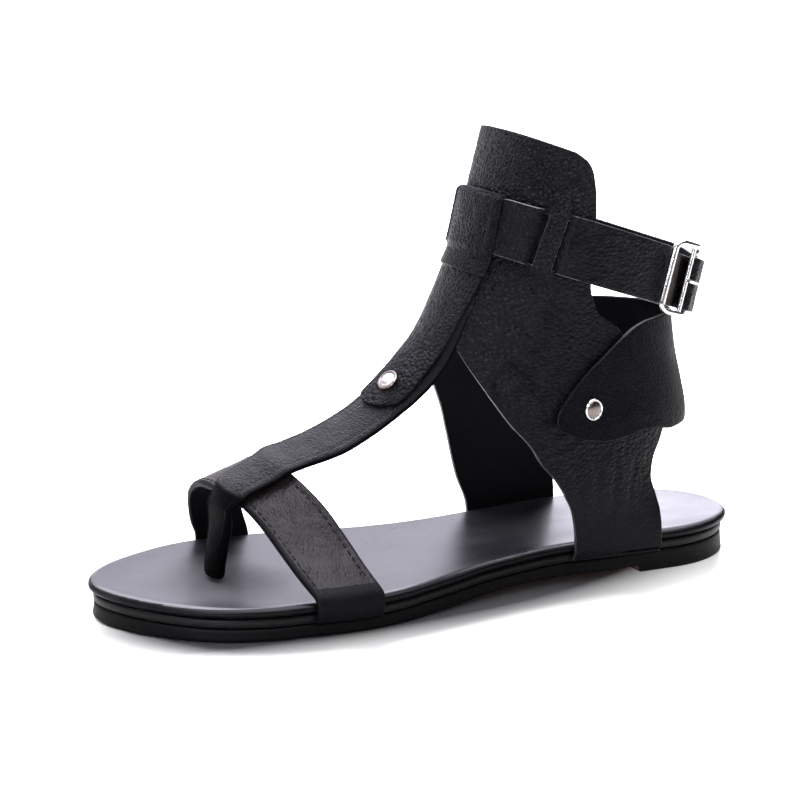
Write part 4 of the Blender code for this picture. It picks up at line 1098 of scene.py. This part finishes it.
def slab(name, rings, materials):
    """A solid of the sole's outline. Rings run upwards, each with its inset and its heights by station."""
    stations = sole_stations(1.6)
    last = len(stations) - 1
    count = 2 * last
    index = np.concatenate((np.arange(last + 1), np.arange(last - 1, 0, -1)))
    side = np.concatenate((np.ones(last + 1), -np.ones(last - 1)))
    edge = spot(stations[index], rim(stations[index], side), 0)
    outward = np.cross(np.roll(edge, -1, axis=0) - np.roll(edge, 1, axis=0), (0, 0, -1))
    outward /= np.linalg.norm(outward, axis=1)[:, None]
    up = np.array((0, 0, 1))
    points = [edge - outward * inset + height(stations[index])[:, None] * up for inset, height in rings]
    faces = []
    for low in range(0, (len(rings) - 1) * count, count):
        corners = ((low + k, low + (k + 1) % count) for k in range(count))
        faces += [(a, a + count, b + count, b) for a, b in corners]
    indices = [0] * len(faces)
    top = (len(rings) - 1) * count
    for k in range(last):
        rung = sorted({k, k + 1, (count - k - 1) % count, (count - k) % count})
        faces += [tuple(top + j for j in reversed(rung)), tuple(rung)]
        indices += [0, len(materials) - 1]
    return finish_object(name, np.concatenate(points), faces, materials, indices, sharp=42)


def build_lower_sole():
    def level(drop):
        return lambda station: SOLE.at("top", station) - drop

    def ground(rise):
        return lambda station: UNDERSIDE.at("height", station) + rise

    top = FOOTBED_THICK + GAP
    base = top + MIDSOLE_THICK
    welt = [(0.9, base), (0.35, base - 0.25), (0, base - 0.8), (0, top + 0.9), (0.25, top + 0.3), (0.7, top)]
    welt = [(MIDSOLE_INSET + more, level(drop)) for more, drop in welt]
    place(slab("midsole_edge", welt, (midsole_edge,)), "black_leather", "midsole")
    rings = [
        (OUTSOLE_INSET + 0.5, ground(0)),
        (OUTSOLE_FLARE + 0.15, ground(0.22)),
        (OUTSOLE_FLARE, ground(0.7)),
        (OUTSOLE_FLARE + 0.2, ground(1.6)),
        (OUTSOLE_INSET - 0.1, level(base + GAP + 1.0)),
        (OUTSOLE_INSET, level(base + GAP + 0.35)),
        (OUTSOLE_INSET + 0.4, level(base + GAP)),
    ]
    place(slab("outsole_rubber", rings, (outsole_rubber, outsole_board)), "black_rubber", "outsole")


# ---- metal
def build_buckle():
    centre, ahead, up, outward = buckle_place()
    half_wide = BUCKLE_WIDTH / 2

    def arched(along, across):
        half_long = BUCKLE_BACK if along > 0 else BUCKLE_FRONT
        arch = BUCKLE_ARCH * (1 - (along / half_long) ** 2)
        return centre + ahead * along + up * across + outward * arch

    path, front, back = [], BUCKLE_FRONT - BUCKLE_CORNER, BUCKLE_BACK - BUCKLE_CORNER
    for quarter, (along, way) in enumerate(((back, 1), (-front, 1), (-front, -1), (back, -1))):
        for turn in np.radians(90 * quarter + np.linspace(0, 90, 10)):
            across = way * (half_wide - BUCKLE_CORNER) + BUCKLE_CORNER * math.sin(turn)
            path.append(arched(along + BUCKLE_CORNER * math.cos(turn), across))
        if quarter in (0, 2):
            path += [arched(a, way * half_wide) for a in np.linspace(back, -front, 12)[::way][1:-1]]
    wire = tube("buckle_wire", path, BUCKLE_WIRE, outward, closed=True, sides=24)
    place(wire, "polished_metal", "buckle_frame")
    bar = [arched(0, across) for across in np.linspace(0.6 - half_wide, half_wide - 0.6, 9)]
    place(tube("buckle_bar", bar, BUCKLE_BAR, outward), "polished_metal")
    over = BUCKLE_ARCH + BUCKLE_BAR + GAP + PRONG_RADIUS
    stem = [centre + ahead * a + outward * rise for a, rise in [(-1.0, over), (1.0, over)] + PRONG_TIP]
    along = np.linspace(0, 1, 28)
    radii = PRONG_RADIUS * np.interp(along, (0, 0.08, 0.4, 0.9, 1), (0.75, 1, 0.97, 0.72, 0.35))
    prong = tube("prong", curve_through(stem, len(along)), radii, outward, flat=0.85)
    place(prong, "polished_metal", "buckle_prong")


def dome(ring, hollow, crown):
    """A rivet head's profile: a rounded ring, a step down inside it, and a dome. Sizes are in millimetres."""
    inner = RIVET_RADIUS - ring
    lip, cap = np.linspace(-0.4, 2.7, ARC_POINTS), np.linspace(0.1, 1.53, ARC_POINTS)
    lip = [(RIVET_RADIUS - ring / 2 + ring / 2 * math.cos(t), 0.35 + 0.5 * math.sin(t)) for t in lip]
    cap = [(inner * math.cos(t), hollow + (crown - hollow) * math.sin(t)) for t in cap]
    return [(RIVET_RADIUS * 0.94, 0.0)] + lip + cap


def build_rivets():
    turn, z = HEEL_RIVET
    heel = (OVER_LEATHER + LEATHER + GAP, (bright_metal, dark_metal), 0.88, dome(0.85, 0.35, 1.3))
    instep = (TONGUE_OUT + LEATHER + GAP, (dark_metal, satin_metal), 1.1, dome(1.1, 0.25, 1.6))
    heads = []
    for name, angle in (("rivet_outer", math.radians(turn)), ("rivet_inner", -math.radians(turn))):
        heads.append((name, angle, float(plane_height(angle, z)), *heel))
    heads.append(("rivet_instep", 0.0001, INSTEP_RIVET, *instep))
    arc = math.tau * np.arange(ROUND_SIDES)[:, None] / ROUND_SIDES
    for node, angle, height, out, finishes, oval, profile in heads:
        centre, ahead, up, outward = surface_frame(ankle, angle, height, out)
        ring = np.cos(arc) * ahead * oval + np.sin(arc) * up
        points = np.concatenate([centre + ring * radius + outward * rise for radius, rise in profile])
        faces = ring_faces(len(profile), ROUND_SIDES)
        on_cap = np.arange(len(faces)) >= (ARC_POINTS + 2) * ROUND_SIDES
        on_cap[-2] = False  # the face under the head
        head = finish_object(node + "_head", points, faces, finishes, on_cap, sharp=35)
        place(head, "polished_metal", node)


# ---- stage
def paper(name, colours):
    n = Nodes(name)
    speck = n.noise((0.02, 0.02, 0.02))
    n.set(n.shader, "Base Color", n.ramp(speck, [(0.3, colours[0]), (0.7, colours[1])]))
    n.set(n.shader, "Roughness", 0.45)
    n.set(n.shader, "Emission Color", (1, 1, 1, 1))
    return n


def floor_paper():
    """White paper, lit near the shoe and glowing farther away, where the lamps would leave it grey."""
    n = paper("floor_paper", ((0.84, 0.84, 0.845), (0.87, 0.87, 0.875)))
    inputs = {"Vector": n.here, "Scale": (1.6, 0.62, 1), "Location": (0.019, 0.028, 0)}
    far = n.vector("LENGTH", n.add("Mapping", inputs).outputs[0], (0, 0, 0))
    n.set(n.shader, "Emission Strength", n.fit(far, 0.090, 0.126, 0.0, 1.0))
    return n.material


def stage_piece(name, points, faces, material):
    mesh = bpy.data.meshes.new(name)
    mesh.from_pydata(points, [], faces)
    mesh.materials.append(material)
    made = linked(name, mesh)
    return made


def build_stage():
    corners = [(x * FLOOR_HALF, y * FLOOR_HALF, -0.0002) for x, y in ((-1, -1), (1, -1), (1, 1), (-1, 1))]
    stage_piece("floor", corners, [(0, 1, 2, 3)], floor_paper())
    sides, radius = 48, 2.6
    turns = [math.tau * k / sides for k in range(sides)]
    ring = [(radius * math.cos(turn), radius * math.sin(turn)) for turn in turns]
    points = [(x, y, z) for z in (-0.5, 3.0) for x, y in ring] + [(0, 0, 4.0)]
    faces = [(k, (k + 1) % sides, sides + (k + 1) % sides, sides + k) for k in range(sides)]
    faces += [(sides + k, sides + (k + 1) % sides, 2 * sides) for k in range(sides)]
    n = paper("backdrop_paper", ((0.1, 0.1, 0.1), (0.12, 0.12, 0.12)))
    n.set(n.shader, "Emission Strength", 1.1)
    wall = stage_piece("backdrop", points, faces, n.material)
    for kind in ("diffuse", "glossy", "transmission", "shadow", "volume_scatter"):
        setattr(wall, "visible_" + kind, False)


def soft_light(name, where, target, size, radiance, colour, seen):
    """A rectangular softbox, out of the camera's sight. It lights the sheen alone, or all but the sheen."""
    data = bpy.data.lights.new(name, "AREA")
    data.shape = "RECTANGLE"
    data.size, data.size_y = size
    data.energy = radiance * math.pi * size[0] * size[1]
    data.color = colour
    lamp = linked(name, data)
    lamp.location = where
    lamp.rotation_euler = (Vector(target) - Vector(where)).to_track_quat("-Z", "Y").to_euler()
    lamp.visible_camera = False
    lamp.visible_diffuse = seen == "matte"
    lamp.visible_glossy = seen == "shine"


WHITE, COOL, CLEAR = (1, 1, 1), (0.86, 0.84, 1.0), (0.90, 0.88, 1.0)
LAMPS = [
    ("back_strip", (-1.35, 0.0, 0.95), (0, 0, 0), (2.6, 0.5), 34.0, WHITE, "matte"),
    ("overhead", (0.1, 0.1, 1.3), (0, 0, 0.05), (1.6, 1.2), 12.0, CLEAR, "shine"),
    ("back_shine", (-1.2, -0.1, 1.15), (0, 0, 0.05), (2.2, 0.8), 5.0, CLEAR, "shine"),
    ("toe_side", (0.25, -1.3, 0.8), (0, -0.05, 0.04), (0.6, 0.7), 2.6, CLEAR, "shine"),
    ("sparkle", (1.3, -1.3, 1.0), (0, 0, 0.08), (0.35, 0.35), 60.0, CLEAR, "shine"),
    ("near_fill", (1.7, -0.4, 0.8), (0, 0, 0.05), (2.6, 1.4), 0.15, COOL, "shine"),
    ("backdrop_glow", (-1.7, 0.75, 0.55), (0, 0.0, 0.05), (2.2, 0.9), 1.0, COOL, "shine"),
    ("heel_glow", (-1.15, 0.95, 0.42), (0, 0.1, 0.0), (0.5, 0.4), 3.7, CLEAR, "shine"),
]


def build_light():
    world = bpy.data.worlds.new("studio")
    bpy.context.scene.world = world
    world.use_nodes = True
    background = world.node_tree.nodes["Background"]
    background.inputs["Color"].default_value = (0.94, 0.94, 1.0, 1)
    background.inputs["Strength"].default_value = 0.07
    for lamp in LAMPS:
        soft_light(*lamp)
    bpy.context.scene.view_settings.view_transform = "Standard"


def build_camera():
    data = bpy.data.cameras.new("camera")
    data.sensor_width, data.lens = 36, LENS
    camera = linked("camera", data)
    a, e = math.radians(VIEW_AZIMUTH), math.radians(VIEW_ELEVATION)
    towards = Vector((math.sin(a) * math.cos(e), -math.cos(a) * math.cos(e), math.sin(e)))
    camera.location = Vector(VIEW_CENTRE) + towards * VIEW_DISTANCE
    camera.rotation_euler = (-towards).to_track_quat("-Z", "Y").to_euler()
    bpy.context.scene.camera = camera


for other in ("Cube", "Light", "Camera"):
    if other in bpy.data.objects:
        bpy.data.objects.remove(bpy.data.objects[other])
for build in (
    build_camera, build_cuff, build_t_strap, build_cross_strap, build_stitches, build_tongue, build_keeper,
    build_ankle_strap, build_heel_band, build_footbed, build_lower_sole, build_buckle, build_rivets,
    build_stage, build_light,
):
    build()
